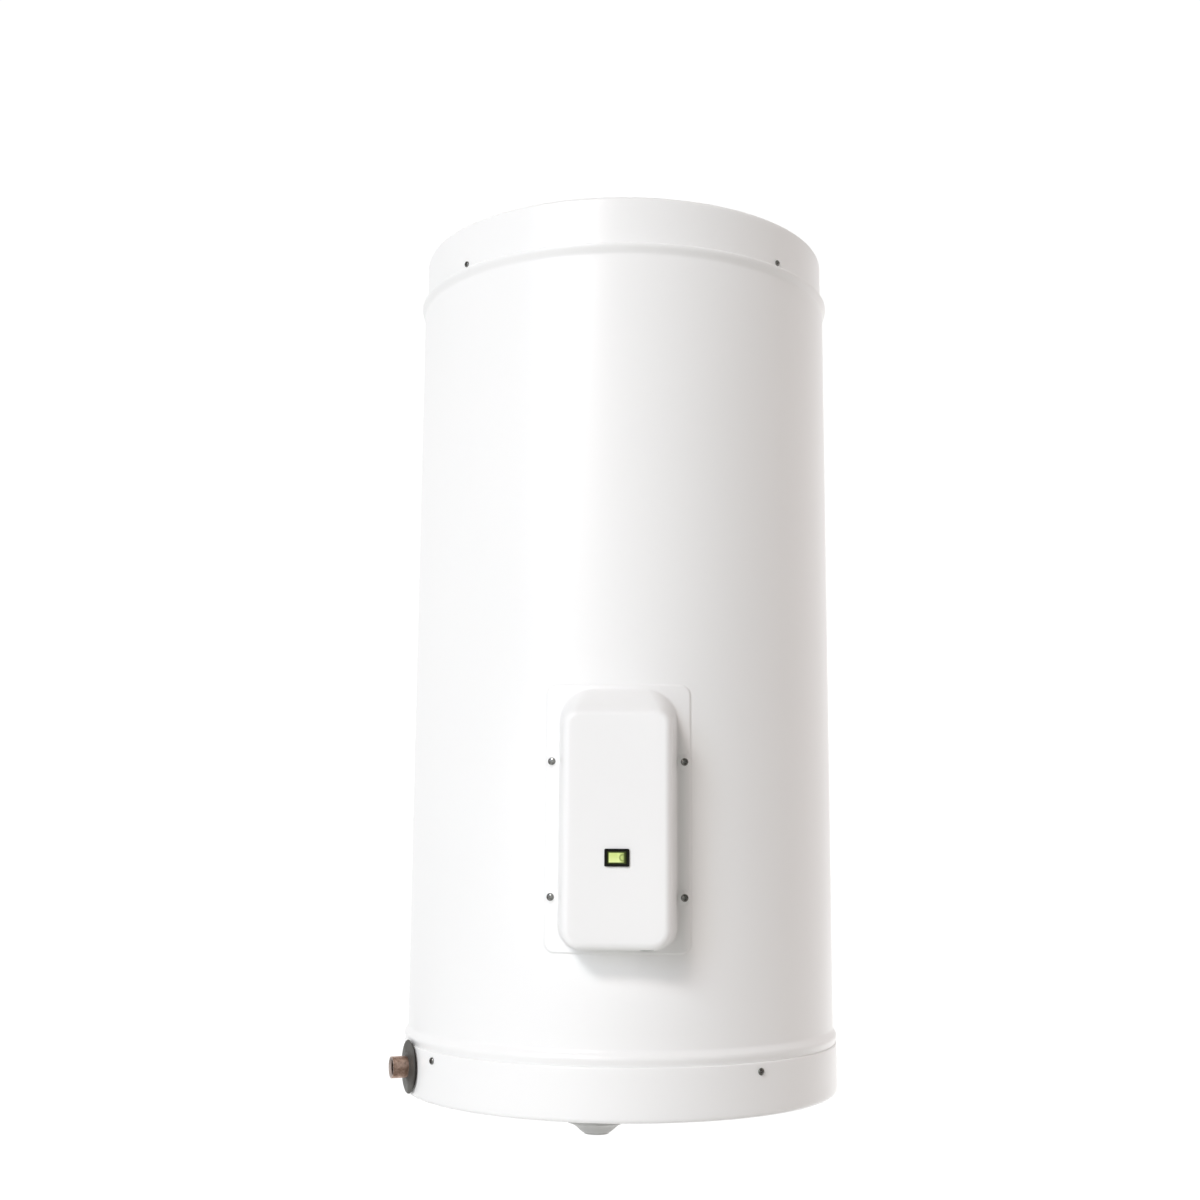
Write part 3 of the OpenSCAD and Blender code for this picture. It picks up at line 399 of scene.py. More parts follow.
M = {
    "paint": powder_coat(),
    "cover": moulded_white(),
    "zinc": zinc(),
    "screw_zinc": zinc("screw_plating", (0.25, 0.25, 0.24), (0.10, 0.10, 0.095), 420.0, (0.16, 0.3)),
    "dark_zinc": zinc("dull_steel", (0.30, 0.30, 0.29), (0.14, 0.14, 0.13), 200.0),
    "stainless": brushed("stainless", (0.60, 0.60, 0.61), 0.22, 0.38),
    "sheath": brushed("element_sheath", (0.20, 0.19, 0.18), 0.4, 0.6),
    "brass": brushed("brass_parts", (0.72, 0.53, 0.25), 0.22, 0.38, (300, 300, 300)),
    "copper": copper("tarnished_copper", COLD_AZ),
    "copper_hot": copper("tarnished_copper_2", HOT_AZ),
    "collar": collar_rubber("grey_collar_rubber", COLD_AZ),
    "collar_hot": collar_rubber("grey_collar_rubber_2", HOT_AZ),
    "seal": rubber("black_seal_rubber", (0.025, 0.025, 0.026), (0.05, 0.05, 0.05)),
    "foot": plastic("grey_foot_plastic", (0.47, 0.475, 0.465), (0.56, 0.565, 0.555), (0.5, 0.64), 700.0, 0.0002),
    "pu": foam("pu_foam", (0.78, 0.66, 0.36), (0.86, 0.75, 0.46), 420.0, 0.0006),
    "eps": foam("eps_foam", (0.86, 0.86, 0.84), (0.92, 0.92, 0.9), 260.0, 0.0006),
    "black": plastic("black_plastic", (0.005, 0.005, 0.004), (0.009, 0.009, 0.007), (0.30, 0.40), IOR=1.2),
    "bakelite": plastic("dark_control_plastic", (0.02, 0.02, 0.02), (0.045, 0.045, 0.043), (0.42, 0.55)),
    "white_part": plastic("white_part_plastic", (0.78, 0.78, 0.74), (0.84, 0.84, 0.80), (0.4, 0.52)),
    "red": plastic("red_button_plastic", (0.55, 0.03, 0.02), (0.66, 0.05, 0.03), (0.2, 0.3)),
    "rocker": rocker_green(),
    "lamp": lamp(),
    "brown": plastic("brown_wire_pvc", (0.13, 0.055, 0.025), (0.18, 0.08, 0.04), (0.35, 0.48)),
    "blue": plastic("blue_wire_pvc", (0.03, 0.10, 0.40), (0.05, 0.14, 0.48), (0.35, 0.48)),
    "green": plastic("green_wire_pvc", (0.16, 0.34, 0.05), (0.40, 0.46, 0.06), (0.35, 0.48)),
}

CAD_LOOK = {
    "outer_jacket": "paint", "top_lid": "paint", "bottom_lid": "paint",
    "top_lid_screws": "screw_zinc", "bottom_lid_screws": "screw_zinc", "lid_clip_nuts": "dark_zinc",
    "side_insulation": "pu", "top_insulation": "eps", "bottom_insulation": "eps",
    "tank_shell": "stainless", "tank_top_head": "stainless", "tank_bottom_head": "stainless",
    "tank_support_ring": "dark_zinc", "base_plate": "dark_zinc", "foot_nuts": "zinc",
    "foot_pad_front": "foot", "foot_pad_right": "foot", "foot_pad_left": "foot",
    "foot_stud_front": "zinc", "foot_stud_right": "zinc", "foot_stud_left": "zinc",
    "element_boss": "stainless", "element_gasket": "seal", "element_head": "brass", "heating_element": "sheath",
    "element_insulator": "bakelite", "sensor_pocket": "stainless", "sensor_bulbs": "copper",
    "service_frame": "white_part", "control_bracket": "zinc", "thermostat_body": "bakelite",
    "thermostat_knob": "white_part", "cutout_body": "bakelite", "reset_button": "red",
    "terminal_block": "white_part", "terminal_screws": "brass", "earth_stud": "brass",
    "wires_live": "brown", "wires_neutral": "blue", "wires_earth": "green",
    "electrical_cover": "cover", "cover_gasket": "seal", "cover_screws": "screw_zinc", "cable_grommet": "seal",
    "switch_housing": "black", "switch_rocker": "rocker", "switch_lamp": "lamp", "switch_terminals": "brass",
    "cold_inlet_pipe": "copper", "inlet_diffuser": "stainless", "hot_outlet_pipe": "copper_hot",
    "hot_riser_tube": "stainless", "cold_pipe_collar": "collar", "hot_pipe_collar": "collar_hot",
}
for name, key in CAD_LOOK.items():
    o = nodes[name]
    o.data.materials.clear()
    o.data.materials.append(M[key])


# ------------------------------------------------------------------ mesh helpers
def make(name, verts, faces, material, body="heater", smooth=True, replaces=()):
    me = bpy.data.meshes.new(name)
    me.from_pydata([tuple(c * MM for c in v) for v in verts], [], faces)
    me.validate()
    me.update()
    ob = bpy.data.objects.new(name, me)
    scene.collection.objects.link(ob)
    me.materials.append(material)
    if smooth:
        me.polygons.foreach_set("use_smooth", [True] * len(me.polygons))
    if replaces:
        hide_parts(*replaces)
    return ob


def finish_piece(ob, body):
    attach(ob, body)
    return ob


def apply_mods(ob):
    deps = bpy.context.evaluated_depsgraph_get()
    ev = ob.evaluated_get(deps)
    me = bpy.data.meshes.new_from_object(ev)
    old = ob.data
    ob.modifiers.clear()
    ob.data = me
    if old.users == 0:
        bpy.data.meshes.remove(old)
    return ob


def resample(path, step):
    """path with extra points so that no straight run is longer than step"""
    out = [path[0]]
    for a, b in zip(path, path[1:]):
        d = math.hypot(b[0] - a[0], b[1] - a[1])
        k = max(1, int(math.ceil(d / step)))
        for i in range(1, k + 1):
            out.append((a[0] + (b[0] - a[0]) * i / k, a[1] + (b[1] - a[1]) * i / k))
    return out


def arc(cx, cy, r, a0, a1, n=8):
    return [(cx + r * math.cos(math.radians(a0 + (a1 - a0) * i / n)),
             cy + r * math.sin(math.radians(a0 + (a1 - a0) * i / n))) for i in range(n + 1)]


def lathe(path, n):
    """open sheet turned round Z; a point with r = 0 is one vertex. Azimuth 0 looks along -Y."""
    verts, rows = [], []
    for r, z in path:
        if r < 1e-6:
            rows.append([len(verts)])
            verts.append((0.0, 0.0, z))
        else:
            row = []
            for k in range(n):
                a = 2 * math.pi * k / n
                row.append(len(verts))
                verts.append((r * math.sin(a), -r * math.cos(a), z))
            rows.append(row)
    faces = []
    for ra, rb in zip(rows, rows[1:]):
        for k in range(n):
            k2 = (k + 1) % n
            if len(ra) == 1 and len(rb) == 1:
                continue
            if len(ra) == 1:
                faces.append((ra[0], rb[k2], rb[k]))
            elif len(rb) == 1:
                faces.append((ra[k], ra[k2], rb[0]))
            else:
                faces.append((ra[k], ra[k2], rb[k2], rb[k]))
    return verts, faces


def punch(ob, az, z, radius, rmin):
    """round hole through a turned sheet at azimuth az and height z, where the sheet is further out than rmin"""
    bm = bmesh.new()
    bm.from_mesh(ob.data)
    a = math.radians(az)
    out = Vector((math.sin(a), -math.cos(a), 0))
    side = Vector((math.cos(a), math.sin(a), 0))

    def flat(p):
        return Vector((p.dot(side), p.z - z * MM))

    kill = []
    for f in bm.faces:
        c = f.calc_center_median()
        if c.dot(out) > rmin * MM and flat(c).length < radius * MM:
            kill.append(f)
    bmesh.ops.delete(bm, geom=kill, context="FACES")
    for v in bm.verts:
        if v.is_boundary and v.co.dot(out) > rmin * MM:
            q = flat(v.co)
            if 1e-6 < q.length < radius * MM * 1.6:
                q = q.normalized() * radius * MM
                rad = math.hypot(v.co.x, v.co.y)
                s = q.x
                v.co = out * math.sqrt(max(rad * rad - s * s, 0)) + side * s + Vector((0, 0, z * MM + q.y))
    bm.to_mesh(ob.data)
    bm.free()


def thicken(ob, t_mm, offset=-1.0):
    m = ob.modifiers.new("sheet", "SOLIDIFY")
    m.thickness = t_mm * MM
    m.offset = offset
    m.use_quality_normals = True
    m.use_rim = True
    apply_mods(ob)
    ob.data.polygons.foreach_set("use_smooth", [True] * len(ob.data.polygons))
    return ob


def smooth_angle(ob, deg):
    """sharp edges where faces meet at more than deg"""
    me = ob.data
    bm = bmesh.new()
    bm.from_mesh(me)
    lim = math.radians(deg)
    for e in bm.edges:
        if len(e.link_faces) == 2 and e.calc_face_angle(0) > lim:
            e.smooth = False
    bm.to_mesh(me)
    bm.free()
    return ob


def flip_out(ob):
    bm = bmesh.new()
    bm.from_mesh(ob.data)
    bmesh.ops.recalc_face_normals(bm, faces=bm.faces)
    bm.to_mesh(ob.data)
    bm.free()
    return ob


# ------------------------------------------------------------------ casing
SEG = 360


def build_jacket():
    path = [(NECK_B, ZB_LID - 20.5), (NECK_B, ZB_LID + 0.15), (GROOVE_B - 0.8, ZB_LID + 0.15)]
    path += [(GROOVE_B + (CREST - GROOVE_B) * (1 - math.cos(math.pi * i / 14)) / 2, ZB_CREST - 9.2 * (1 - i / 14))
             for i in range(15)]
    path += [(R + BEAD * (1 + math.cos(math.pi * i / 14)) / 2, ZB_CREST + 11 * i / 14) for i in range(1, 15)]
    mid = [(R + BEAD * (1 - math.cos(math.pi * i / 14)) / 2, ZT_OUT + 14 * i / 14) for i in range(15)]
    path += mid
    path += [(NECK_T + (CREST - NECK_T) * math.cos(math.radians(90 * i / 12)),
              ZT_CREST + 4 * math.sin(math.radians(90 * i / 12))) for i in range(1, 13)]
    path += [(NECK_T, ZT_LID + 22)]
    low = [q for q in path if q[1] < ZB_CREST]
    path = resample(low, 6.0) + resample(path[len(low):], 16.0)
    v, f = lathe(path, SEG)
    ob = make("jacket_shell", v, f, M["paint"], replaces=("outer_jacket",))
    # service opening
    bm = bmesh.new()
    bm.from_mesh(ob.data)
    ha = math.degrees(math.asin(60.5 / R))
    kill = []
    for face in bm.faces:
        c = face.calc_center_median()
        az = math.degrees(math.atan2(c.x, -c.y))
        if abs(az) < ha and 258 * MM < c.z < 532 * MM:
            kill.append(face)
    bmesh.ops.delete(bm, geom=kill, context="FACES")
    bm.to_mesh(ob.data)
    bm.free()
    for az in (COLD_AZ, HOT_AZ):
        punch(ob, az, PIPE_Z, 19.5, 250)
    thicken(ob, JT)
    smooth_angle(ob, 50)
    return finish_piece(ob, "heater")


def build_seam():
    """folded lock seam down the back of the jacket"""
    z0, z1 = ZB_CREST + 16, ZT_OUT - 4
    prof = [(-5.2, -0.25), (-4.6, 0.05), (-4.1, 0.45), (-3.4, 0.72), (-2.4, 0.8), (0, 0.8), (2.4, 0.8), (3.4, 0.74),
            (4.0, 0.5), (4.3, 0.1), (4.5, -0.25)]
    n = 60
    verts, faces = [], []
    for j in range(n + 1):
        z = z0 + (z1 - z0) * j / n
        end = min(1.0, min(z - z0, z1 - z) / 6.0)
        for s, h in prof:
            r = R + (h if h < 0 else h * math.sqrt(max(end, 0.0)))
            a = s / R
            verts.append((r * math.sin(a), r * math.cos(a), z))
    m = len(prof)
    for j in range(n):
        for i in range(m - 1):
            faces.append((j * m + i, (j + 1) * m + i, (j + 1) * m + i + 1, j * m + i + 1))
    for j in (0, n):
        faces.append(tuple(j * m + i for i in range(m)))
    base = [j * m for j in range(n + 1)] + [j * m + m - 1 for j in range(n, -1, -1)]
    faces.append(tuple(base))
    ob = make("jacket_lock_seam", verts, faces, M["paint"])
    flip_out(ob)
    smooth_angle(ob, 50)
    return finish_piece(ob, "heater")


def build_lids():
    st = SKIRT_T
    path = [(st - LT, ZT_LID + 1.0), (st - LT * 0.4, ZT_LID + 0.8), (st, ZT_LID + 1.3)]
    path += arc(st - 6, TOTAL - 6, 6, 0, 90, 10)
    path += [(256 - 8 * t / 10, TOTAL - 1.5 * (1 - math.cos(math.pi * t / 10))) for t in range(11)]
    path += [(0, TOTAL - 3)]
    path = resample([(st, ZT_LID + 0.8)] + path[3:], 7.0)
    v, f = lathe(path, SEG)
    top = make("top_lid_shell", v, f, M["paint"], replaces=("top_lid",))
    thicken(top, LT)
    smooth_angle(top, 50)
    finish_piece(top, "heater")

    sb = SKIRT_B
    path = [(NECK_B + 0.8, ZB_LID - 0.1), (GROOVE_B - 1.0, ZB_LID - 0.1), (GROOVE_B - 0.3, ZB_LID + 0.25)]
    path += arc(sb - 2.0, ZB_LID - 1.85, 2.0, 80, 0, 8)
    path += arc(sb - 6, FOOT_GAP + 6, 6, 0, -90, 9)
    path += [(6, FOOT_GAP)]
    path = resample(path, 5.5)
    v, f = lathe(path, SEG)
    bot = make("bottom_lid_shell", v, f, M["paint"], replaces=("bottom_lid",))
    for az in (COLD_AZ, HOT_AZ):
        punch(bot, az, PIPE_Z, 17.9, 280)
    # holes for the foot studs
    bm = bmesh.new()
    bm.from_mesh(bot.data)
    for da in (0, 120, -120):
        a = math.radians(FOOT_AZ + da)
        c0 = Vector((FOOT_R * math.sin(a), -FOOT_R * math.cos(a), FOOT_GAP)) * MM
        kill = [fc for fc in bm.faces if (fc.calc_center_median() - c0).length < 7.2 * MM]
        bmesh.ops.delete(bm, geom=kill, context="FACES")
        for vt in bm.verts:
            d = vt.co - c0
            if vt.is_boundary and 1e-6 < d.length < 12 * MM and abs(d.z) < 1e-5:
                vt.co = c0 + d.normalized() * 7.2 * MM
    bm.to_mesh(bot.data)
    bm.free()
    flip_out(bot)
    thicken(bot, LT, 1.0 if bot.data.polygons[0].normal.z < -0.5 else -1.0)
    smooth_angle(bot, 50)
    finish_piece(bot, "heater")
    return top, bot


# ------------------------------------------------------------------ service cover
def corner_ring(spec, n_side, n_arc):
    """points round an outline with four round corners. spec: half width, z0, z1, corner radius below, corner radius above"""
    hw, z0, z1, rb, rt = spec
    pts = []

    def seg(a, b, n):
        for i in range(n):
            t = i / n
            pts.append((a[0] + (b[0] - a[0]) * t, a[1] + (b[1] - a[1]) * t))

    def turn(cx, cz, r, a0, n):
        for i in range(n):
            a = math.radians(a0 + 90 * i / n)
            pts.append((cx + r * math.cos(a), cz + r * math.sin(a)))

    seg((hw, z0 + rb), (hw, z1 - rt), n_side[1])
    turn(hw - rt, z1 - rt, rt, 0, n_arc)
    seg((hw - rt, z1), (-hw + rt, z1), n_side[0])
    turn(-hw + rt, z1 - rt, rt, 90, n_arc)
    seg((-hw, z1 - rt), (-hw, z0 + rb), n_side[1])
    turn(-hw + rb, z0 + rb, rb, 180, n_arc)
    seg((-hw + rb, z0), (hw - rb, z0), n_side[0])
    turn(hw - rb, z0 + rb, rb, 270, n_arc)
    return pts


def build_cover():
    ns, na = (16, 96), 14
    base = corner_ring((COVER_HW, COVER_Z0, COVER_TOP, 26.0, 40.0), ns, na)
    crown = corner_ring((COVER_HW - 7.9, COVER_Z0 + 1.6, COVER_Z1, 24.5, 17.0), ns, na)
    foot = corner_ring((COVER_HW + 3.0, COVER_Z0 - 3.0, COVER_TOP + 3.5, 28.5, 42.0), ns, na)
    n = len(base)

    def yc(x, r=FLV):
        return -math.sqrt(r * r - x * x)

    def flange_r(x, z):
        """the flange is thin, with a low boss under each screw head"""
        best = 0.0
        for a in (-SCREW_A, SCREW_A):
            for zs in SCREW_ZS:
                d = math.hypot(math.radians(a) * R - R * math.asin(x / R), z - zs)
                k = min(1.0, max(0.0, (9.4 - d) / 4.0))
                best = max(best, k * k * (3 - 2 * k))
        return FLV + (FL1 - FLV) * best

    def lerp(a, b, t):
        return tuple(p + (q - p) * t for p, q in zip(a, b))

    def quad(a, b, c, k):
        return [tuple((1 - t) ** 2 * p + 2 * t * (1 - t) * q + t * t * w for p, q, w in zip(a, b, c))
                for t in [i / k for i in range(k + 1)]]

    spokes = []
    for i in range(n):
        bx, bz = base[i]
        cx, cz = crown[i]
        fx, fz = foot[i]
        B = (bx, yc(bx), bz)
        C = (cx, FACE_Y, cz)
        Fo = (fx, yc(fx, flange_r(fx, fz)), fz)
        # direction in the face plane, towards the middle
        nxt, prv = crown[(i + 1) % n], crown[i - 1]
        tx, tz = nxt[0] - prv[0], nxt[1] - prv[1]
        L = math.hypot(tx, tz)
        inx, inz = -tz / L, tx / L
        wall = Vector(B) - Vector(C)
        # tangent length of a round edge between this wall and the face
        turn = wall.normalized().angle(Vector((inx, 0.0, inz)))
        tl = COVER_EDGE / math.tan(turn / 2)
        W = Vector(C) + wall.normalized() * tl
        Fc = Vector((cx + inx * tl, FACE_Y, cz + inz * tl))
        Wb = Vector(B) + (Vector(C) - Vector(B)).normalized() * 3.0
        pts = quad(Fo, B, tuple(Wb), 4)
        wl = [tuple(Vector(Wb).lerp(W, t / 7)) for t in range(1, 7)]
        # circular-looking round from the wall to the face
        k = 12
        ca = []
        a, b, c = Vector(tuple(W)), Vector(C), Fc
        w = math.cos(0.5 * math.acos(max(-1, min(1, (a - b).normalized().dot(-(c - b).normalized())))))
        for j in range(k + 1):
            t = j / k
            b0, b1, b2 = (1 - t) ** 2, 2 * t * (1 - t) * w, t * t
            ca.append(tuple((a * b0 + b * b1 + c * b2) / (b0 + b1 + b2)))
        spokes.append(pts + wl + ca)
    m = len(spokes[0])
    verts = [p for s in spokes for p in s]
    faces = []
    for i in range(n):
        i2 = (i + 1) % n
        for j in range(m - 1):
            faces.append((i * m + j, i2 * m + j, i2 * m + j + 1, i * m + j + 1))
    # flat face, with the switch cut-out: a ring of quads out of the inner loop to a rectangle, plus the strips
    inner = [i * m + m - 1 for i in range(n)]
    hx, hz = 13.7, 9.6
    cut = []
    for i in inner:
        x, y, z = verts[i]
        dx, dz = x, z - SW_Z
        # project towards the cut-out's edge
        s = max(abs(dx) / hx, abs(dz) / hz)
        cut.append((dx / s, FACE_Y, SW_Z + dz / s))
    # make sure that the four corners of the cut-out are in the loop
    corners = [(hx, SW_Z + hz), (-hx, SW_Z + hz), (-hx, SW_Z - hz), (hx, SW_Z - hz)]
    for cxx, czz in corners:
        j = min(range(n), key=lambda q: (cut[q][0] - cxx) ** 2 + (cut[q][2] - czz) ** 2)
        cut[j] = (cxx, FACE_Y, czz)
    rings = 6
    prev = inner
    for rr in range(1, rings + 1):
        t = rr / rings
        cur = []
        for q in range(n):
            a = verts[inner[q]]
            b = cut[q]
            cur.append(len(verts))
            verts.append(tuple(a[k2] + (b[k2] - a[k2]) * t for k2 in range(3)))
        for q in range(n):
            q2 = (q + 1) % n
            faces.append((prev[q], prev[q2], cur[q2], cur[q]))
        prev = cur
    # flange: from the foot loop out to its own edge, on the cylinder
    hwf = FL1 * math.sin(math.radians(FL_A)) - 3.4
    edge = corner_ring((hwf, FL_Z0 + 3.0, FL_Z1 - 3.0, 11.0, 11.0), ns, na)
    prev = [i * m for i in range(n)]
    rings = 9
    for rr in range(1, rings + 1):
        t = rr / rings
        cur = []
        for q in range(n):
            a = foot[q]
            b = edge[q]
            x = a[0] + (b[0] - a[0]) * t
            z = a[1] + (b[1] - a[1]) * t
            cur.append(len(verts))
            verts.append((x, yc(x, flange_r(x, z)), z))
        for q in range(n):
            q2 = (q + 1) % n
            faces.append((cur[q], cur[q2], prev[q2], prev[q]))
        prev = cur
    # its edge rolls down to the jacket
    for k in range(1, 9):
        grow = 3.2 * k / 8
        r = FLV - (FLV - R - 0.03) * (k / 8) ** 2 * (3 - 2 * k / 8)
        out = corner_ring((hwf + grow, FL_Z0 + 3.0 - grow, FL_Z1 - 3.0 + grow, 11.0 + grow, 11.0 + grow), ns, na)
        cur = []
        for x, z in out:
            cur.append(len(verts))
            verts.append((x, yc(x, r), z))
        for q in range(n):
            q2 = (q + 1) % n
            faces.append((cur[q], cur[q2], prev[q2], prev[q]))
        prev = cur
    ob = make("service_cover", verts, faces, M["cover"], replaces=("electrical_cover",))
    bm = bmesh.new()
    bm.from_mesh(ob.data)
    bmesh.ops.recalc_face_normals(bm, faces=bm.faces)
    bm.faces.ensure_lookup_table()
    f0 = max(bm.faces, key=lambda f: -f.calc_center_median().y)
    if f0.normal.y > 0:
        bmesh.ops.reverse_faces(bm, faces=bm.faces)
    bm.to_mesh(ob.data)
    bm.free()
    thicken(ob, 2.6)
    smooth_angle(ob, 55)
    return finish_piece(ob, "heater")


def build_gasket():
    """flat seal under the flange, lying on the jacket"""
    ns, na = (16, 48), 8
    hwf = FL1 * math.sin(math.radians(FL_A))
    outer = corner_ring((hwf - 5.5, FL_Z0 + 5.5, FL_Z1 - 5.5, 9.0, 9.0), ns, na)
    inner = corner_ring((64.0, 253.0, 550.0, 6.0, 6.0), ns, na)
    n = len(outer)
    verts, faces, loops = [], [], []
    for r, ts in ((R + 1.45, (0.0, 0.25, 0.5, 0.75, 1.0)), (R + 0.1, (1.0, 0.75, 0.5, 0.25, 0.0))):
        for t in ts:
            loops.append(len(verts))
            for (xa, za), (xb, zb) in zip(outer, inner):
                x, z = xa + (xb - xa) * t, za + (zb - za) * t
                verts.append((x, -math.sqrt(r * r - x * x), z))
    for a, b in zip(loops, loops[1:] + loops[:1]):
        for q in range(n):
            q2 = (q + 1) % n
            faces.append((a + q, a + q2, b + q2, b + q))
    ob = make("cover_gasket_sheet", verts, faces, M["seal"], replaces=("cover_gasket",))
    flip_out(ob)
    smooth_angle(ob, 50)
    return finish_piece(ob, "heater")


jacket = build_jacket()
seam = build_seam()
gasket = build_gasket()
top_shell, bottom_shell = build_lids()
cover = build_cover()


# ------------------------------------------------------------------ floor, world and lights
def build_floor():
    me = bpy.data.meshes.new("studio_floor")
    s = 30.0
    n = 24
    verts = [(-s + 2 * s * i / n, -s + 2 * s * j / n, 0.0) for j in range(n + 1) for i in range(n + 1)]
    faces = [(j * (n + 1) + i, j * (n + 1) + i + 1, (j + 1) * (n + 1) + i + 1, (j + 1) * (n + 1) + i)
             for j in range(n) for i in range(n)]
    me.from_pydata(verts, [], faces)
    ob = bpy.data.objects.new("studio_floor", me)
    scene.collection.objects.link(ob)
    t = Tree("studio_floor_white")
    n1 = t.noise(1.5, 3.0)
    col = t.mix(n1, (0.11, 0.11, 0.11), (0.12, 0.12, 0.12))
    me.materials.append(t.finish(col, 0.9, None, Emission_Color=(1.0, 1.0, 1.0), Emission_Strength=1.0,
                                 Specular_IOR_Level=0.0))
    # it shows white and leaves the lighting to the studio round it
    ob.visible_diffuse = ob.visible_glossy = ob.visible_transmission = ob.visible_shadow = False
    return ob


# light from steeply below: azimuth from -Y towards +X, then colour
BAND_UNDER = [
    (-120, 1.431, 1.427, 1.421), (-60, 1.234, 1.237, 1.227), (0, 0.461, 0.46, 0.434), (60, 0.306, 0.275, 0.245),
    (120, 0.619, 0.594, 0.583), (180, 1.121, 1.119, 1.119)]
# light off the studio floor around the tank
BAND_FLOOR = [
    (-150, 0.966, 0.966, 0.965), (-120, 0.41, 0.404, 0.398), (-90, 0.037, 0.025, 0.008),
    (-60, 0.589, 0.593, 0.584), (-30, 1.246, 1.253, 1.255), (0, 0.513, 0.518, 0.486), (30, 0.005, 0, 0),
    (60, 0.334, 0.302, 0.273), (90, 1.123, 1.064, 1.039), (120, 1.799, 1.761, 1.75), (150, 1.797, 1.79, 1.788),
    (180, 1.473, 1.473, 1.473)]
# level light: bright backdrop behind, a dim room in front on the right
BAND_LEVEL = [
    (-150, 1.058, 1.056, 1.053), (-120, 0.837, 0.827, 0.817), (-90, 0.279, 0.266, 0.252),
    (-75, 0.249, 0.242, 0.229), (-60, 0.521, 0.522, 0.514), (-45, 0.931, 0.935, 0.935),
    (-30, 1.224, 1.226, 1.227), (-15, 1.254, 1.257, 1.25), (0, 1.113, 1.119, 1.104), (15, 0.885, 0.891, 0.872),
    (30, 0.523, 0.531, 0.509), (45, 0.148, 0.152, 0.129), (60, 0.021, 0, 0), (75, 0.235, 0.182, 0.172),
    (90, 0.751, 0.657, 0.646), (120, 1.688, 1.592, 1.587), (150, 1.349, 1.327, 1.317), (180, 1.152, 1.15, 1.153)]
# light from above the level
BAND_HIGH = [
    (-150, 0.935, 0.933, 0.934), (-120, 0.661, 0.657, 0.652), (-90, 0.134, 0.128, 0.12), (-75, 0, 0, 0),
    (-60, 0, 0, 0), (-45, 0, 0, 0), (-30, 0.004, 0.004, 0.003), (-15, 0, 0, 0), (0, 0, 0, 0), (15, 0, 0, 0),
    (30, 0.032, 0.027, 0.015), (45, 0.135, 0.125, 0.112), (60, 0.276, 0.259, 0.248), (75, 0.421, 0.396, 0.385),
    (90, 0.57, 0.533, 0.52), (120, 0.878, 0.848, 0.84), (150, 0.917, 0.913, 0.913), (180, 0.911, 0.911, 0.919)]
TOP_LIGHT = (0.325, 0.302, 0.262)
# azimuth, elevation, colour of the front lamps
LAMPS = [
    (-20, 12, 0.016, 0.013, 0.014), (-20, 24, 0.066, 0.065, 0.067), (-20, 36, 0.11, 0.088, 0.079),
    (-28, 12, 0.01, 0.012, 0.007), (-28, 36, 0.252, 0.245, 0.252), (-38, 12, 0.055, 0.057, 0.072),
    (-38, 24, 0.048, 0.056, 0.066), (-38, 36, 0.125, 0.144, 0.145)]


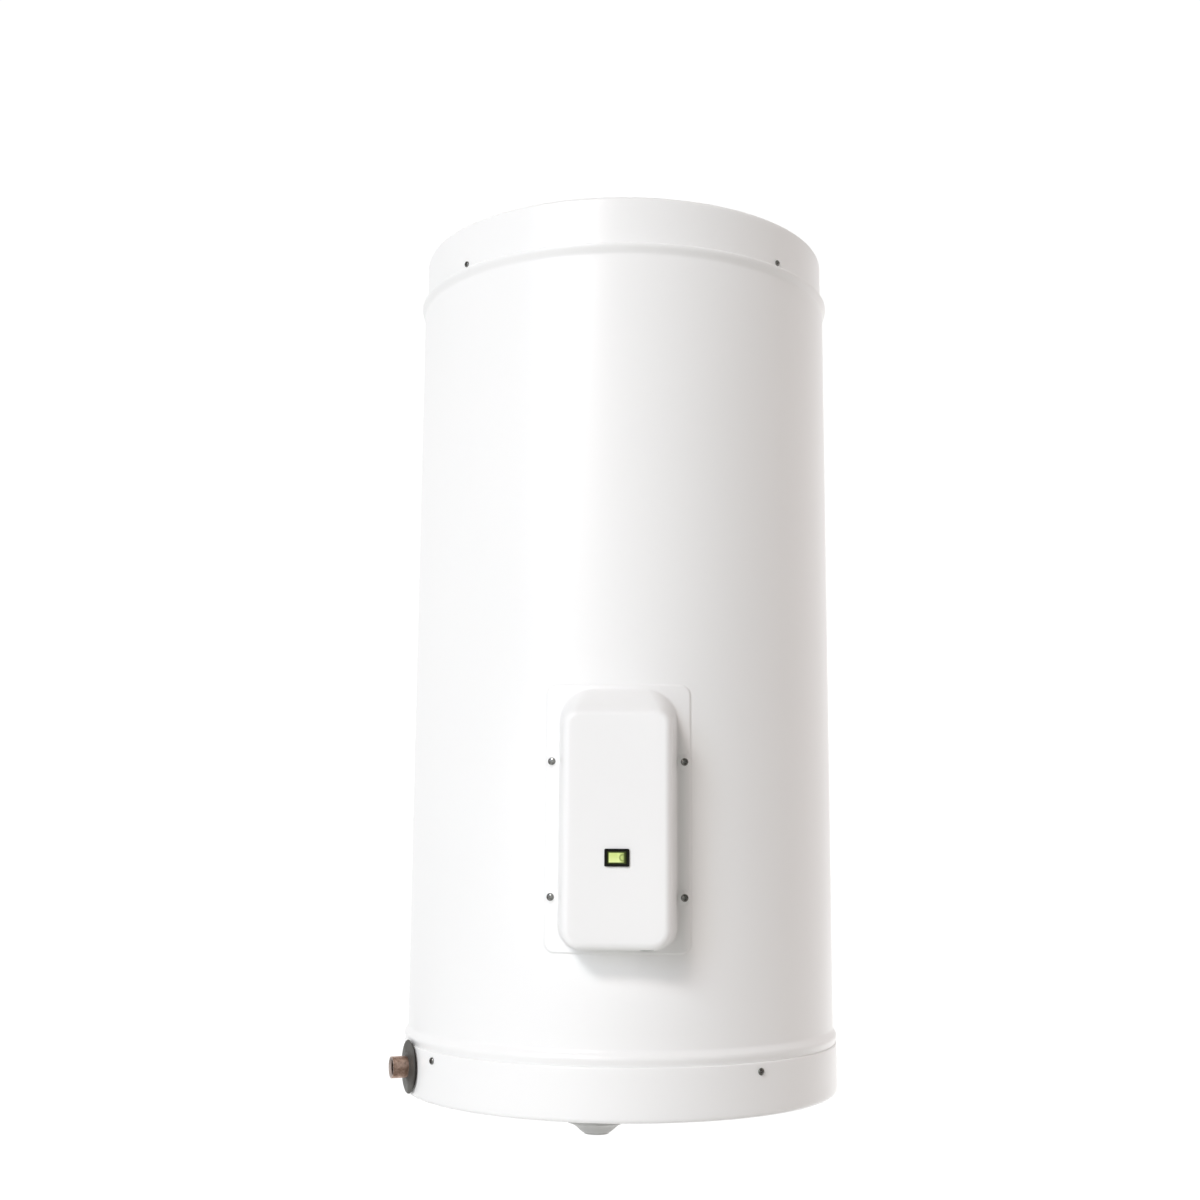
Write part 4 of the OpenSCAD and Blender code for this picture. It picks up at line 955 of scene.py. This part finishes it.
def build_world():
    w = bpy.data.worlds.new("studio")
    scene.world = w
    w.use_nodes = True
    nt = w.node_tree
    nt.nodes.clear()

    def new(kind, **props):
        n = nt.nodes.new(kind)
        for k, v in props.items():
            setattr(n, k, v)
        return n

    def put(n, i, v):
        if isinstance(v, (int, float)):
            n.inputs[i].default_value = v
        else:
            nt.links.new(v, n.inputs[i])

    def maths(op, a, b=None):
        n = new("ShaderNodeMath", operation=op)
        put(n, 0, a)
        if b is not None:
            put(n, 1, b)
        return n.outputs[0]

    def step(v, a, b):
        n = new("ShaderNodeMapRange", interpolation_type="SMOOTHSTEP")
        put(n, 0, v)
        n.inputs["From Min"].default_value = math.radians(a)
        n.inputs["From Max"].default_value = math.radians(b)
        return n.outputs[0]

    def band(knots, scale):
        n = new("ShaderNodeValToRGB")
        e = n.color_ramp.elements
        knots = sorted(knots)
        last = knots[-1]
        allk = [(-180, *last[1:])] + knots
        while len(e) < len(allk):
            e.new(0.5)
        for el, k in zip(e, allk):
            el.position = (k[0] + 180) / 360
            el.color = (k[1] / scale, k[2] / scale, k[3] / scale, 1)
        nt.links.new(turn, n.inputs["Fac"])
        return n.outputs["Color"]

    def mixed(fac, a, b, kind="MIX"):
        n = new("ShaderNodeMix", data_type="RGBA", blend_type=kind)
        for i, v in ((0, fac), (6, a), (7, b)):
            if isinstance(v, tuple):
                n.inputs[i].default_value = v
            else:
                put(n, i, v)
        return n.outputs[2]

    tc = new("ShaderNodeTexCoord")
    sp = new("ShaderNodeSeparateXYZ")
    nt.links.new(tc.outputs["Generated"], sp.inputs[0])
    x, y, z = sp.outputs
    az = maths("ARCTAN2", x, maths("MULTIPLY", y, -1.0))
    turn = maths("ADD", maths("DIVIDE", az, 2 * math.pi), 0.5)
    el = maths("ARCSINE", z)
    body = mixed(step(el, -48, -28), band(BAND_UNDER, 2.0), band(BAND_FLOOR, 2.0))
    body = mixed(step(el, -14, 2), body, band(BAND_LEVEL, 2.0))
    body = mixed(step(el, 12, 28), body, band(BAND_HIGH, 2.0))
    body = mixed(step(el, 42, 62), body, tuple(c / 2.0 for c in TOP_LIGHT) + (1.0,))
    out = new("ShaderNodeOutputWorld")
    seen = new("ShaderNodeBackground")
    seen.inputs["Color"].default_value = (1, 1, 1, 1)
    seen.inputs["Strength"].default_value = 1.05
    room = new("ShaderNodeBackground")
    room.inputs["Strength"].default_value = 2.0
    nt.links.new(body, room.inputs["Color"])
    lp = new("ShaderNodeLightPath")
    mixs = new("ShaderNodeMixShader")
    nt.links.new(lp.outputs["Is Camera Ray"], mixs.inputs[0])
    nt.links.new(room.outputs[0], mixs.inputs[1])
    nt.links.new(seen.outputs[0], mixs.inputs[2])
    nt.links.new(mixs.outputs[0], out.inputs["Surface"])


def front_lamps():
    for a, e, *rgb in LAMPS:
        top = max(rgb)
        d = bpy.data.lights.new("lamp_%d_%d" % (-a, e), "SUN")
        d.energy = math.pi * top
        d.color = tuple(c / top for c in rgb)
        d.angle = math.radians(11)
        ob = bpy.data.objects.new(d.name, d)
        scene.collection.objects.link(ob)
        az, el = math.radians(a), math.radians(e)
        src = Vector((math.sin(az) * math.cos(el), -math.cos(az) * math.cos(el), math.sin(el)))
        ob.rotation_euler = src.to_track_quat("Z", "Y").to_euler()
        ob.location = src * 6


floor = build_floor()
build_world()
front_lamps()
scene.view_settings.view_transform = "Standard"
scene.view_settings.look = "None"
scene.view_settings.exposure = 0.0
scene.view_settings.gamma = 1.0

bpy.context.view_layer.update()
